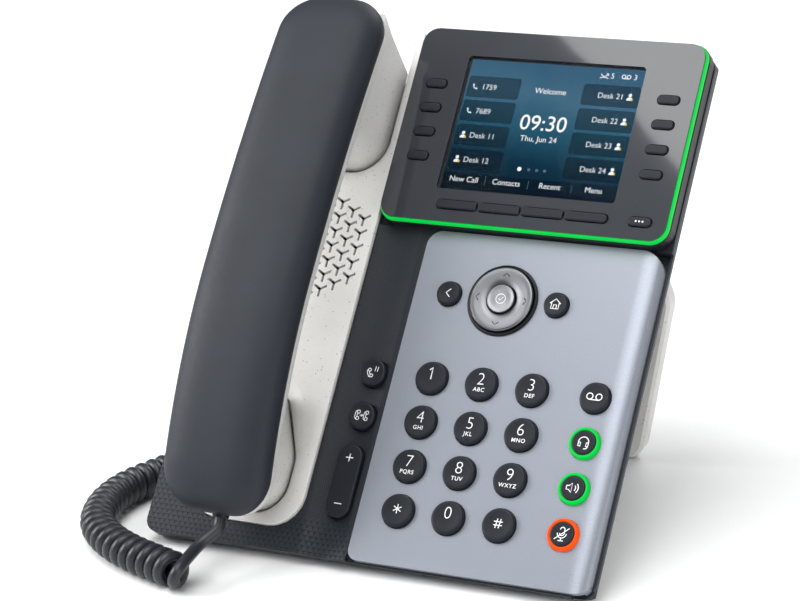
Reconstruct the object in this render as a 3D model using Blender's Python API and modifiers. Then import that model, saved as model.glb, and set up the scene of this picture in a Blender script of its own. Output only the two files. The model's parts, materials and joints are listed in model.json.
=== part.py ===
"""Desk IP phone: a tilted slab on a folding stand, a handset in a cradle, and a coiled handset cord.

World axes: +X to the user's right, +Y away from the user, +Z up, and the table is Z = 0.
Almost everything is laid out on the tilted face. Face coordinates are millimetres: u runs right,
v runs up the face, n stands out of it, and the origin is the middle of dial key 2.
"""
import math

import bmesh
import bpy
from mathutils import Matrix, Vector

MM = 0.001
GAP = 0.3

# Where the face lies
FACE_TILT = math.radians(50.0)
FACE_U = 31.75
FACE_Y = -16.24
UNDERSIDE_Z = 1.0
RIM_V = -71.0
RIM_N = -8.0
FACE_Z = UNDERSIDE_Z - RIM_V * math.sin(FACE_TILT) - RIM_N * math.cos(FACE_TILT)

# Housing
BASE_LEFT = -121.0
BASE_RIGHT = 59.6
BASE_TOP_LEFT = 121.5
BASE_TOP_RIGHT = 136.0
FACE_SKIN = -0.6
FACE_INNER = -4.2
SEAM_N = -11.0
BACK_N = -28.0
WALL = 2.4

# Keypad panel
PANEL_LEFT = -36.0
PANEL_RIGHT = 58.3
PANEL_BOTTOM = -70.9
PANEL_TOP = 57.4
PANEL_THICK = 2.4
PANEL_ROLL = (9.0, 4.2)
PANEL_SKIRT = 6.0
RIM_TOP_N = -4.3

# Display block
BEZEL = (-55.9, 58.9, 58.3, 136.5)
BEZEL_TOP = 6.0
BEZEL_UNDER = 3.6
SCREEN = (-34.3, 72.6, 35.9, 125.2)
LENS_MARGIN = 0.5
LIGHT_REACH = 0.8

# Keys
KEY_PITCH_U = 19.95
KEY_PITCH_V = 16.94
KEY_TOP = 1.9
KEY_BOTTOM = -4.0
KEY_TRAVEL = 1.0
DIAL_KEY_R = 6.25
FUNCTION_KEY_R = 5.75
SMALL_KEY_R = 4.7
SIDE_KEY_R = 5.3
FUNCTION_U = 44.65
NAV_V = 32.63
NAV_R = 12.4
SELECT_R = 5.3
NAV_BORE_R = 6.3
KEY_STEPS = 18

# Handset and cradle
HAND_U = -81.8
HAND_HALF_WIDTH = 21.3
HAND_CORNER = 15.0
HAND_BOTTOM = -66.5
HAND_TOP = 135.0
CRADLE = (-105.0, -63.0, -58.2, 136.5)
CRADLE_SKIN = 1.0
POCKET_U = -82.0
GRILLE = (-79.5, 46.9)
GRILLE_PITCH = (5.2, 5.9)

# Stand
STAND_FOOT_Y = 72.0
HINGE_V = 84.0
HINGE_N = -35.5
HINGE_HALF = 66.0

STAND_SOLE_Z = 1.2

# Jack block
JACK_LEFT = -70.0
JACK_RIGHT = -10.0
JACK_FLOOR_Z = 19.4
JACK_FACE_Y = 16.0
SOCKET_Z = 28.5
SOCKET_DEPTH = 11.5
HANDSET_SOCKET_X = -18.0

# Handset cord, world millimetres from the handset's end to the socket's end
WIRE_D = 4.2
COIL_D = 14.0
HANDSET_EXIT = (-80.5, -67.0, 17.5)
COIL_ROUTE = [
    (-60.0, -92.0, 7.1), (-80.2, -84.8, 7.1), (-96.0, -76.0, 7.1), (-107.0, -65.0, 7.1),
    (-113.0, -51.0, 7.1),
    (-114.3, -37.1, 7.1), (-112.0, -26.0, 7.1), (-108.0, -15.4, 7.1), (-101.0, 3.0, 7.1),
    (-88.0, 17.0, 7.1),
    (-70.0, 24.5, 7.1), (-52.0, 26.0, 7.1), (-38.0, 23.0, 7.1),
]
TAIL_ROUTE = [(-17.6, 26.0, 26.5), (-18.5, 30.5, 17.0), (-22.0, 24.5, 9.0), (-29.0, 21.5, 7.1)]

# Materials: colour, roughness, metallic
LOOKS = {
    "charcoal": ((0.055, 0.060, 0.070), 0.55, 0.0),
    "key_black": ((0.036, 0.038, 0.043), 0.50, 0.0),
    "silver": ((0.420, 0.450, 0.500), 0.35, 0.6),
    "metal": ((0.500, 0.510, 0.530), 0.25, 1.0),
    "light_plastic": ((0.720, 0.710, 0.680), 0.60, 0.0),
    "gloss_grey": ((0.070, 0.073, 0.078), 0.20, 0.0),
    "green_light": ((0.000, 0.620, 0.100), 0.40, 0.0),
    "glass": ((0.020, 0.030, 0.040), 0.10, 0.0),
    "screen": ((0.030, 0.100, 0.180), 0.30, 0.0),
    "circuit_green": ((0.020, 0.150, 0.060), 0.50, 0.0),
    "silicone": ((0.250, 0.260, 0.270), 0.70, 0.0),
    "rubber": ((0.025, 0.025, 0.027), 0.80, 0.0),
    "cord_black": ((0.030, 0.032, 0.036), 0.45, 0.0),
    "clear_plastic": ((0.550, 0.560, 0.560), 0.20, 0.0),
}


# ---------------------------------------------------------------- scene helpers

def clear_scene():
    for item in list(bpy.data.objects):
        bpy.data.objects.remove(item, do_unlink=True)


def new_collection(name):
    group = bpy.data.collections.new(name)
    bpy.context.scene.collection.children.link(group)
    return group


def add_empty(name, matrix):
    empty = bpy.data.objects.new(name, None)
    PARTS.objects.link(empty)
    empty.matrix_world = matrix
    return empty


def look(name):
    """One Principled material for each look, made on first use."""
    material = bpy.data.materials.get(name)
    if material is None:
        colour, roughness, metallic = LOOKS[name]
        material = bpy.data.materials.new(name)
        material.use_nodes = True
        shader = material.node_tree.nodes["Principled BSDF"]
        shader.inputs["Base Color"].default_value = (*colour, 1.0)
        shader.inputs["Roughness"].default_value = roughness
        shader.inputs["Metallic"].default_value = metallic
    return material


def finish_part(obj, look_name, parent=None, at=(0, 0, 0)):
    """Names the material, hangs the part on its frame and puts its origin where it belongs."""
    own = look(look_name).copy()
    own.name = obj.name
    obj.data.materials.clear()
    obj.data.materials.append(own)
    PARTS.objects.link(obj)
    obj.parent = parent
    obj.location = Vector(at) * MM
    return obj


def as_cutter(obj, parent=None, at=(0, 0, 0)):
    CUTTERS.objects.link(obj)
    obj.parent = parent
    obj.location = Vector(at) * MM
    obj.hide_render = True
    obj.display_type = "WIRE"
    return obj


def boolean(obj, tool, operation="DIFFERENCE"):
    modifier = obj.modifiers.new(f"{operation.lower()}_{tool.name}", "BOOLEAN")
    modifier.operation = operation
    modifier.object = tool
    modifier.solver = "EXACT"
    return modifier


def smooth_by_angle(mesh, degrees=35):
    mesh.shade_smooth()
    mesh.set_sharp_from_angle(angle=math.radians(degrees))


# ---------------------------------------------------------------- outlines (mm)

def rounded(corners, steps=5):
    """Outline through corners (x, y, radius), anticlockwise, with each corner turned by an arc."""
    points = []
    count = len(corners)
    for i, (x, y, radius) in enumerate(corners):
        here = Vector((x, y))
        if radius <= 0:
            points.append((x, y))
            continue
        back = (Vector(corners[i - 1][:2]) - here).normalized()
        ahead = (Vector(corners[(i + 1) % count][:2]) - here).normalized()
        half = math.acos(max(-1.0, min(1.0, back.dot(ahead)))) / 2
        reach = radius / math.tan(half)
        start = here + back * reach
        stop = here + ahead * reach
        centre = here + (back + ahead).normalized() * (radius / math.sin(half))
        from_centre = start - centre
        sweep = from_centre.angle_signed(stop - centre)
        for k in range(steps + 1):
            turn = Matrix.Rotation(-sweep * k / steps, 2)
            points.append(tuple(centre + turn @ from_centre))
    return points


def rounded_box(left, bottom, right, top, radius, steps=5):
    corners = [(left, bottom), (right, bottom), (right, top), (left, top)]
    return rounded([(x, y, radius) for x, y in corners], steps)


def circle(u, v, radius, steps=KEY_STEPS):
    turn = [2 * math.pi * k / steps for k in range(steps)]
    return [(u + radius * math.cos(a), v + radius * math.sin(a)) for a in turn]


# ---------------------------------------------------------------- solids

def mesh_object(name, bm, smooth=35):
    mesh = bpy.data.meshes.new(name)
    bmesh.ops.remove_doubles(bm, verts=bm.verts, dist=0.00001)
    bmesh.ops.recalc_face_normals(bm, faces=bm.faces)
    bm.to_mesh(mesh)
    bm.free()
    if smooth:
        smooth_by_angle(mesh, smooth)
    return bpy.data.objects.new(name, mesh)


def mesh_from_curve(name, curve_object):
    """A closed mesh of an evaluated curve: its caps are welded and the curve is removed."""
    bpy.context.scene.collection.objects.link(curve_object)
    graph = bpy.context.evaluated_depsgraph_get()
    mesh = bpy.data.meshes.new_from_object(curve_object.evaluated_get(graph))
    bm = bmesh.new()
    bm.from_mesh(mesh)
    curve = curve_object.data
    bpy.data.objects.remove(curve_object, do_unlink=True)
    bpy.data.curves.remove(curve)
    bpy.data.meshes.remove(mesh)
    return mesh_object(name, bm)


def plate(name, loops, low, high, edge=0.0):
    """A flat outline with thickness from n = low to high. Loops after the first are its holes."""
    curve = bpy.data.curves.new(name, "CURVE")
    curve.dimensions = "2D"
    curve.fill_mode = "BOTH"
    curve.extrude = ((high - low) / 2 - edge) * MM
    curve.bevel_depth = edge * MM
    curve.bevel_resolution = 0
    curve.offset = -edge * MM
    for loop in loops:
        spline = curve.splines.new("POLY")
        spline.points.add(len(loop) - 1)
        for point, (x, y) in zip(spline.points, loop):
            point.co = (x * MM, y * MM, 0, 1)
        spline.use_cyclic_u = True
    obj = mesh_from_curve(name, bpy.data.objects.new(name, curve))
    obj.data.transform(Matrix.Translation((0, 0, (low + high) / 2 * MM)))
    return obj


def side_profile(name, points, left, right):
    """A profile drawn in (v, n) and swept along u."""
    obj = plate(name, [points], left, right)
    to_uvn = Matrix(((0, 0, 1, 0), (1, 0, 0, 0), (0, 1, 0, 0), (0, 0, 0, 1)))
    obj.data.transform(to_uvn)
    return obj


def end_profile(name, points, low, high):
    """A profile drawn in (u, n) and swept along v."""
    obj = plate(name, [points], low, high)
    to_uvn = Matrix(((1, 0, 0, 0), (0, 0, 1, 0), (0, 1, 0, 0), (0, 0, 0, 1)))
    obj.data.transform(to_uvn)
    obj.data.flip_normals()
    return obj


def turned(name, profile, steps=KEY_STEPS):
    """A profile (radius, height) from the top of the axis down the outside, turned about the axis."""
    bm = bmesh.new()
    verts = [bm.verts.new((r * MM, 0, h * MM)) for r, h in profile]
    for a, b in zip(verts, verts[1:]):
        bm.edges.new((a, b))
    mesh = bpy.data.meshes.new(name)
    bm.to_mesh(mesh)
    bm.free()
    obj = bpy.data.objects.new(name, mesh)
    screw = obj.modifiers.new("turn", "SCREW")
    screw.axis = "Z"
    screw.steps = steps
    screw.render_steps = steps
    screw.use_merge_vertices = True
    screw.merge_threshold = 0.00001
    screw.use_smooth_shade = True
    return obj


def box(name, low, high):
    bm = bmesh.new()
    bmesh.ops.create_cube(bm, size=1)
    low = Vector(low)
    high = Vector(high)
    size = (high - low) * MM
    bmesh.ops.scale(bm, vec=size, verts=bm.verts)
    bmesh.ops.translate(bm, vec=(low + high) / 2 * MM, verts=bm.verts)
    return mesh_object(name, bm, smooth=0)


def tube(name, points, diameter, resolution=2):
    """A cord's plain solid along points, as a bevelled curve with filled caps."""
    curve = bpy.data.curves.new(name, "CURVE")
    curve.dimensions = "3D"
    curve.bevel_depth = diameter / 2 * MM
    curve.bevel_resolution = resolution
    curve.use_fill_caps = True
    spline = curve.splines.new("POLY")
    spline.points.add(len(points) - 1)
    for point, place in zip(spline.points, points):
        point.co = (*(Vector(place) * MM), 1)
    return bpy.data.objects.new(name, curve)


def smooth_route(knots, spacing):
    """Points about `spacing` apart on the smooth curve through the knots."""
    ends = [knots[0] * 2 - knots[1]] + knots + [knots[-1] * 2 - knots[-2]]
    fine = []
    for a, b, c, d in zip(ends, ends[1:], ends[2:], ends[3:]):
        for k in range(16):
            t = k / 16
            fine.append(0.5 * (2 * b + (c - a) * t + (2 * a - 5 * b + 4 * c - d) * t * t
                               + (3 * b - a - 3 * c + d) * t * t * t))
    fine.append(knots[-1])
    length = [0.0]
    for a, b in zip(fine, fine[1:]):
        length.append(length[-1] + (b - a).length)
    count = max(2, round(length[-1] / spacing))
    route = []
    k = 0
    for i in range(count + 1):
        want = length[-1] * i / count
        while k < len(fine) - 2 and length[k + 1] < want:
            k += 1
        part = (want - length[k]) / (length[k + 1] - length[k])
        route.append(fine[k].lerp(fine[k + 1], part))
    return route


def face_to_world(u, v, n):
    """World millimetres of a point given in face coordinates."""
    return (FACE_MATRIX @ (Vector((u, v, n)) * MM)) / MM


# ---------------------------------------------------------------- housing

def table_plane_v(n, lift=0.0):
    """The v at which depth n meets the underside, which lies flat on the table side."""
    return (UNDERSIDE_Z + lift - FACE_Z - n * math.cos(FACE_TILT)) / math.sin(FACE_TILT)


def underside_cutter(name):
    """Takes away everything lower than the underside."""
    tool = box(name, (-200, -200, -60), (200, 200, UNDERSIDE_Z))
    return as_cutter(tool)


def housing_outline():
    return rounded([
        (BASE_LEFT, -71.6, 5), (BASE_RIGHT, -71.6, 7), (BASE_RIGHT, BASE_TOP_RIGHT, 6),
        (-57.6, BASE_TOP_RIGHT, 1), (-57.6, BASE_TOP_LEFT, 0), (BASE_LEFT, BASE_TOP_LEFT, 8),
    ])


def panel_outline(grow):
    left, right = PANEL_LEFT - grow, PANEL_RIGHT + grow
    bottom, top = PANEL_BOTTOM - grow, PANEL_TOP + grow
    return rounded([(left, bottom, 4), (right, bottom, 6), (right, top, 9), (left, top, 6)])


def panel_seat():
    """The panel's recess, which runs out through the housing's bottom edge."""
    left, right, top = PANEL_LEFT - GAP, PANEL_RIGHT + GAP, PANEL_TOP + GAP
    return rounded([(left, -80, 0), (right, -80, 0), (right, top, 9), (left, top, 6)])


def build_front_housing():
    obj = plate("front_housing", [housing_outline()], SEAM_N, FACE_SKIN)
    finish_part(obj, "charcoal", FACE)
    cavity_low = SEAM_N - 1
    left_room = rounded_box(BASE_LEFT + WALL, -67.4, -60.8, BASE_TOP_LEFT - WALL, 3, 2)
    right_room = rounded_box(-62.0, -67.4, 48.2, BASE_TOP_RIGHT - WALL, 3, 2)
    toe = [(-72.0, -4.2), (-69.9, -9.5), (-72, -15), (-85, -15), (-85, -4.2)]
    tools = [
        plate("cut_left_room", [left_room], cavity_low, FACE_INNER),
        plate("cut_right_room", [right_room], cavity_low, FACE_INNER),
        plate("cut_cradle_hole", [cradle_bay()], cavity_low, 3),
        plate("cut_panel_seat", [panel_seat()], -PANEL_THICK - GAP, 3),
        plate("cut_key_window", [key_window()], cavity_low, 3),
        box("cut_panel_lip", (51.5, -80, -PANEL_SKIRT - GAP), (PANEL_RIGHT + GAP, 57.85, 3)),
        box("cut_rim_top", (PANEL_RIGHT, -80, RIM_TOP_N), (64, 57.85, 3)),
        end_profile("cut_side_draft", [(60, -5.1), (57, -12), (66, -12), (66, -5.1)], -90, 150),
        box("cut_display_seat", (-57.5, 57.85, -2.3), (62, 140, 3)),
        box("cut_display_edge", (52.9, 58.2, -13), (62, 140, -8.0)),
        plate("cut_side_keys", side_key_holes(), cavity_low, 3),
        side_profile("cut_toe", toe, -130, 70),
        end_profile("cut_valley", circle(-47.5, FACE_SKIN - 1.8 + 25.4, 25.4, 64), -75, 57.8),
    ]
    for tool in tools:
        boolean(obj, as_cutter(tool, FACE))
    boolean(obj, underside_cutter("cut_front_underside"))
    return obj


def key_window():
    return rounded_box(PANEL_LEFT + 3, PANEL_BOTTOM + 3, 52.0, PANEL_TOP - 3, 3, 2)


def side_key_holes():
    """Outlines of the hold, transfer and volume openings in the strip beside the panel."""
    return [
        circle(-44.0, -0.5, SIDE_KEY_R + GAP),
        circle(-43.8, -17.4, SIDE_KEY_R + GAP),
        rounded_box(-49.0 - GAP, -56.6 - GAP, -39.2 + GAP, -28.6 + GAP, 4.9 + GAP),
    ]


def build_rear_housing():
    left, right, top = -112.0, 49.0, 133.0
    seam = SEAM_N - GAP
    profile = [
        (table_plane_v(-6), -6), (table_plane_v(BACK_N), BACK_N),
        (98, BACK_N), (top, -15), (top, -6),
    ]
    obj = side_profile("rear_housing", profile, left, right)
    bevel = obj.modifiers.new("soft_edges", "BEVEL")
    bevel.width = 4 * MM
    bevel.segments = 2
    bevel.limit_method = "ANGLE"
    finish_part(obj, "charcoal", FACE)
    inner = [
        (table_plane_v(-6) + 3.5, -6), (table_plane_v(BACK_N) + 3.0, BACK_N + WALL),
        (97, BACK_N + WALL), (top - WALL, -15), (top - WALL, -6),
    ]
    inner_left = [
        (table_plane_v(-6) + 3.5, -6), (table_plane_v(BACK_N) + 3.0, BACK_N + WALL),
        (97, BACK_N + WALL), (116.5, -18), (116.5, -6),
    ]
    tools = [
        box("cut_rear_front", (-130, -90, seam), (80, 150, 10)),
        side_profile("cut_rear_room", inner, -55.0, right - WALL),
        side_profile("cut_rear_room_left", inner_left, left + WALL, -54.0),
        box("cut_ear_notch", (-130, 119, -40), (-57.6, 150, 10)),
    ]
    for tool in tools:
        boolean(obj, as_cutter(tool, FACE))
    for side in (-1, 1):
        middle = -FACE_U + side * (HINGE_HALF + 4.5)
        lug = rounded([(HINGE_V - 7, BACK_N + 1, 0), (HINGE_V + 7, BACK_N + 1, 0),
                       (HINGE_V + 4.5, HINGE_N - 4.5, 4), (HINGE_V - 4.5, HINGE_N - 4.5, 4)][::-1])
        solid = side_profile(f"join_lug_{side}", lug, middle - 4, middle + 4)
        boolean(obj, as_cutter(solid, FACE), "UNION")
    boolean(obj, hinge_rod("cut_hinge_bore", 2.35, HINGE_HALF + 6.0))
    for k in range(7):
        v = 20 + 6 * k
        slot = plate(f"cut_vent_{k}", [rounded_box(-20, v, 20, v + 2.4, 1.1, 2)], BACK_N - 2, BACK_N + 5)
        boolean(obj, as_cutter(slot, FACE))
    return obj


def build_keypad_panel():
    roll_u, roll_n = PANEL_ROLL
    inner_u, inner_n = roll_u - PANEL_THICK, roll_n - PANEL_THICK
    centre_u = PANEL_RIGHT - roll_u
    turn = [math.radians(90 - 11.25 * k) for k in range(9)]
    outer = [(centre_u + roll_u * math.cos(a), -roll_n + roll_n * math.sin(a)) for a in turn]
    inner = [(centre_u + inner_u * math.cos(a), -roll_n + inner_n * math.sin(a)) for a in turn]
    skirt = [(PANEL_RIGHT, -PANEL_SKIRT), (PANEL_RIGHT - PANEL_THICK, -PANEL_SKIRT)]
    profile = [(PANEL_LEFT, -PANEL_THICK), (PANEL_LEFT, 0)] + outer + skirt + inner[::-1]
    obj = end_profile("keypad_panel", profile, PANEL_BOTTOM, PANEL_TOP)
    finish_part(obj, "silver", FACE)
    trim = plate("shape_panel_edge", [panel_outline(0)], -PANEL_SKIRT - 2, 2)
    boolean(obj, as_cutter(trim, FACE), "INTERSECT")
    holes = [circle(u, v, DIAL_KEY_R + GAP) for _, u, v in dial_keys()]
    holes += [circle(FUNCTION_U, v, FUNCTION_KEY_R + GAP) for _, v in function_keys()]
    holes += [circle(u, v, SMALL_KEY_R + GAP) for _, u, v in small_keys()]
    holes.append(circle(0, NAV_V, NAV_R + 1.4, 32))
    boolean(obj, as_cutter(plate("cut_key_holes", holes, -8, 3), FACE))
    return obj


# ---------------------------------------------------------------- display block

def bezel_outline(grow, steps=5):
    left, bottom, right, top = BEZEL
    return rounded_box(left - grow, bottom - grow, right + grow, top + grow, 6 + grow, steps)


def light_outline():
    """The lit strip's outline: from the bottom left corner round to the top right one."""
    steps = 6
    first, last = 1, 3 * steps + 1
    outer = bezel_outline(LIGHT_REACH, steps)[first:last]
    inner = bezel_outline(GAP, steps)[first:last]
    return outer + inner[::-1]


def build_display():
    frame = plate("display_frame", [bezel_outline(1.0), bezel_outline(-1.4, 3)], -2.0, BEZEL_UNDER - GAP)
    finish_part(frame, "charcoal", FACE)
    light = plate("light_bar", [light_outline()], BEZEL_UNDER, 5.8)
    finish_part(light, "green_light", FACE)
    left, bottom, right, top = SCREEN
    window = rounded_box(left - 0.8, bottom - 0.8, right + 0.8, top + 0.8, 1.0, 1)
    holes = [window] + [pill(u, v, w + 2 * GAP, h + 2 * GAP) for _, u, v, w, h in bezel_keys()]
    bezel = plate("display_bezel", [bezel_outline(0)] + holes, BEZEL_UNDER, BEZEL_TOP)
    finish_part(bezel, "gloss_grey", FACE)
    margin = LENS_MARGIN
    glass = rounded_box(left - margin, bottom - margin, right + margin, top + margin, 0.8, 1)
    lens = plate("display_lens", [glass], 4.1, 5.3)
    finish_part(lens, "glass", FACE)
    module = box("lcd_module", (left - 2.5, bottom - 2.5, 0.3), (right + 2.5, top + 2.5, BEZEL_UNDER - GAP))
    finish_part(module, "screen", FACE)


# ---------------------------------------------------------------- keys

def dial_keys():
    """Name, u and v of the twelve dial keys."""
    names = ["1", "2", "3", "4", "5", "6", "7", "8", "9", "star", "0", "hash"]
    keys = []
    for i, name in enumerate(names):
        keys.append((f"dial_key_{name}", (i % 3 - 1) * KEY_PITCH_U, -(i // 3) * KEY_PITCH_V))
    return keys


def function_keys():
    names = ["messages_key", "headset_key", "speaker_key", "mute_key"]
    return [(name, -i * KEY_PITCH_V) for i, name in enumerate(names)]


def small_keys():
    return [("back_key", -21.6, 33.0), ("home_key", 21.4, 33.0)]


def side_keys():
    return [("hold_key", -44.0, -0.5), ("transfer_key", -43.8, -17.4)]


def bezel_keys():
    """Name, u, v, width and height of the keys round the screen."""
    keys = []
    for side, u in (("left", -45.7), ("right", 48.1)):
        for i in range(4):
            keys.append((f"line_key_{side}_{i + 1}", u, 113.6 - 9.85 * i, 8.6, 3.5))
    for i in range(4):
        keys.append((f"soft_key_{i + 1}", -24.8 + 17.35 * i, 65.6, 16.6, 3.5))
    keys.append(("more_key", 48.1, 65.6, 9.0, 3.6))
    return keys


def pill(u, v, width, height):
    radius = height * 0.46
    return rounded_box(u - width / 2, v - height / 2, u + width / 2, v + height / 2, radius, 3)


def round_key(name, u, v, radius, top=KEY_TOP):
    edge = 0.7
    crown, shoulder = (0, top + 0.15), (radius - edge, top)
    profile = [crown, shoulder, (radius, top - edge), (radius, KEY_BOTTOM), (0, KEY_BOTTOM)]
    obj = turned(name, profile)
    return finish_part(obj, "key_black", FACE, (u, v, 0))


def build_keys():
    for name, u, v in dial_keys():
        round_key(name, u, v, DIAL_KEY_R)
    for name, v in function_keys():
        round_key(name, FUNCTION_U, v, FUNCTION_KEY_R)
    for name, u, v in small_keys():
        round_key(name, u, v, SMALL_KEY_R)
    for name, u, v in side_keys():
        round_key(name, u, v, SIDE_KEY_R, 0.8)
    for name, u, v, width, height in bezel_keys():
        obj = plate(name, [pill(0, 0, width, height)], BEZEL_UNDER - 0.8, BEZEL_TOP + 0.8, 0.5)
        finish_part(obj, "key_black", FACE, (u, v, 0))
    rocker = plate("volume_rocker", [rounded_box(-4.9, -14.0, 4.9, 14.0, 4.8)], -3.0, 2.4, 0.6)
    finish_part(rocker, "key_black", FACE, (-44.1, -42.6, -1.5))
    build_navigation()


def build_navigation():
    """The ring is a shallow dish with the select button standing in its middle."""
    ring = turned("nav_ring", [
        (NAV_BORE_R, 1.7), (7.5, 2.2), (11.4, 2.4), (NAV_R, 1.7), (NAV_R, -2.6), (NAV_BORE_R, -2.6),
        (NAV_BORE_R, 1.7),
    ], 32)
    finish_part(ring, "metal", FACE, (0, NAV_V, 0))
    stem = SELECT_R - 0.4
    select = turned("select_key", [
        (0, 2.8), (4.8, 2.7), (SELECT_R, 2.1), (SELECT_R, 1.2), (stem, 1.0), (stem, -2.6), (0, -2.6),
    ], 24)
    finish_part(select, "metal", FACE, (0, NAV_V, 0))


# ---------------------------------------------------------------- inner pieces

def build_inner_pieces():
    mat = plate("key_mat", [rounded_box(-31, -65, 47.6, 46, 2, 1)], -6.6, -5.4)
    finish_part(mat, "silicone", FACE)
    board = plate("main_board", [rounded_box(-50, -62, 46, 128, 2, 1)], -9.6, -8.0)
    finish_part(board, "circuit_green", FACE)
    speaker = turned("loudspeaker", [
        (0, -10.6), (17, -10.6), (18, -11.4), (18, -15), (9, -21), (9, -25), (0, -25),
    ], 24)
    finish_part(speaker, "rubber", FACE, (*GRILLE, 0))


# ---------------------------------------------------------------- cradle

def cradle_outline(grow):
    left, bottom, right, top = CRADLE
    left -= grow
    bottom -= grow
    right += grow
    notch = BASE_TOP_LEFT - 0.5
    return rounded([
        (left, bottom, 13), (right, bottom, 13), (right, top, 1.5), (-63.5 + grow, top, 1.5),
        (-63.5 + grow, notch, 0), (-100.5 - grow, notch, 0), (-100.5 - grow, top, 1.5), (left, top, 1.5),
    ])


def cradle_bay():
    """The housing's opening for the cradle, which runs out through the top edge."""
    left, bottom, right, _ = CRADLE
    left -= GAP
    right += GAP
    return rounded([(left, bottom - GAP, 13), (right, bottom - GAP, 13), (right, 150, 0), (left, 150, 0)])


def ear_pocket(grow):
    left, right = POCKET_U - 18.5 - grow, POCKET_U + 18.5 + grow
    return rounded([(left, 78 - grow, 13), (right, 78 - grow, 13), (right, 150, 0), (left, 150, 0)])


def mouth_pocket(grow):
    wide, shoulder = 14.2 + grow, 4.7 + grow
    bottom, top = -58 - grow, -13 + grow
    return rounded([
        (POCKET_U - wide, bottom, 12), (POCKET_U + wide, bottom, 12), (POCKET_U + wide, -36, 14),
        (POCKET_U + shoulder, top, 4), (POCKET_U - shoulder, top, 4), (POCKET_U - wide, -36, 14),
    ])


def grille_slots():
    """Outlines of the three-armed slots over the loudspeaker, in a hexagon."""
    arm, half = 2.5, 0.42
    slots = []
    for column in range(-3, 4):
        rows = 8 - abs(column)
        for row in range(rows):
            across = GRILLE_PITCH[0] * column
            along = GRILLE_PITCH[1] * (row - (rows - 1) / 2)
            centre = Vector((GRILLE[0] + across, GRILLE[1] + along))
            outline = []
            for k in range(3):
                angle = math.radians(30 + 120 * k)
                tip = Vector((math.cos(angle), math.sin(angle)))
                side = Vector((-tip.y, tip.x)) * half
                between = angle + math.pi / 3
                crotch = Vector((math.cos(between), math.sin(between))) * half * 1.16
                outline += [tuple(centre + p) for p in (tip * arm - side, tip * arm + side, crotch)]
            slots.append(outline)
    return slots


def build_cradle():
    obj = plate("handset_cradle", [cradle_outline(0)], -2.0, CRADLE_SKIN)
    finish_part(obj, "light_plastic", FACE)
    limit_top = BASE_TOP_LEFT - 0.5
    left, right = POCKET_U - 21, POCKET_U + 21
    ear_tub = rounded([(left, 75.5, 13), (right, 75.5, 13), (right, limit_top, 0), (left, limit_top, 0)])
    union = [
        plate("join_ear_tub", [ear_tub], -9.5, 0.5),
        plate("join_mouth_tub", [mouth_pocket(2.5)], -9.5, 0.5),
    ]
    for tool in union:
        boolean(obj, as_cutter(tool, FACE), "UNION")
    tools = [
        plate("cut_ear_pocket", [ear_pocket(0)], -7.5, 4),
        plate("cut_mouth_pocket", [mouth_pocket(0)], -7.5, 4),
        plate("cut_hook_hole", [rounded_box(-85, 94, -79, 104, 0.5, 1)], -12, 4),
        plate("cut_grille", grille_slots(), -4, 3),
    ]
    for tool in tools:
        boolean(obj, as_cutter(tool, FACE))
    return obj


def build_hookswitch():
    obj = plate("hookswitch_plunger", [rounded_box(-2.6, -4.6, 2.6, 4.6, 0.5, 1)], -16.0, -6.4, 0.4)
    finish_part(obj, "key_black", FACE, (-82, 99, 0))


# ---------------------------------------------------------------- handset

def arch(v):
    """Height of the handset's widest line above the face, along its length."""
    crown = 37.0
    drop = 0.00062 if v > 22 else 0.0019
    return crown - drop * (v - 22) ** 2


def handset_ring(inset, height):
    """A superellipse outline of the handset, shrunk by inset and lifted by height over the arch."""
    middle = (HAND_TOP + HAND_BOTTOM) / 2
    half_long = (HAND_TOP - HAND_BOTTOM) / 2 - inset
    half_wide = HAND_HALF_WIDTH - inset
    corner = HAND_CORNER * half_wide / HAND_HALF_WIDTH
    ring = []
    for point in rounded_box(-half_wide, -half_long, half_wide, half_long, corner, 5):
        ring.append(point)
    rows = 8
    full = []
    for a, b in zip(ring, ring[1:] + ring[:1]):
        full.append(a)
        if abs(b[1] - a[1]) > half_long:
            for k in range(1, rows):
                full.append((a[0], a[1] + (b[1] - a[1]) * k / rows))
    return [Vector((HAND_U + x, middle + y, arch(middle + y) + height)) for x, y in full]


def ring_solid(name, rings, cap_first=True, cap_last=True):
    """Skins a stack of equal rings and closes its ends by rungs across each end ring."""
    bm = bmesh.new()
    rows = [[bm.verts.new(p * MM) for p in ring] for ring in rings]
    count = len(rings[0])
    for low, high in zip(rows, rows[1:]):
        for i in range(count):
            j = (i + 1) % count
            bm.faces.new((low[i], low[j], high[j], high[i]))
    for row, wanted in ((rows[0], cap_first), (rows[-1], cap_last)):
        if not wanted:
            continue
        order = sorted(range(count), key=lambda i: (rings[0][i].y, rings[0][i].x))
        left = sorted((i for i in order if rings[0][i].x < HAND_U), key=lambda i: rings[0][i].y)
        right = sorted((i for i in order if rings[0][i].x > HAND_U), key=lambda i: rings[0][i].y)
        for (a, b), (c, d) in zip(zip(left, left[1:]), zip(right, right[1:])):
            bm.faces.new((row[a], row[c], row[d], row[b]))
    return mesh_object(name, bm, 40)


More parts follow.
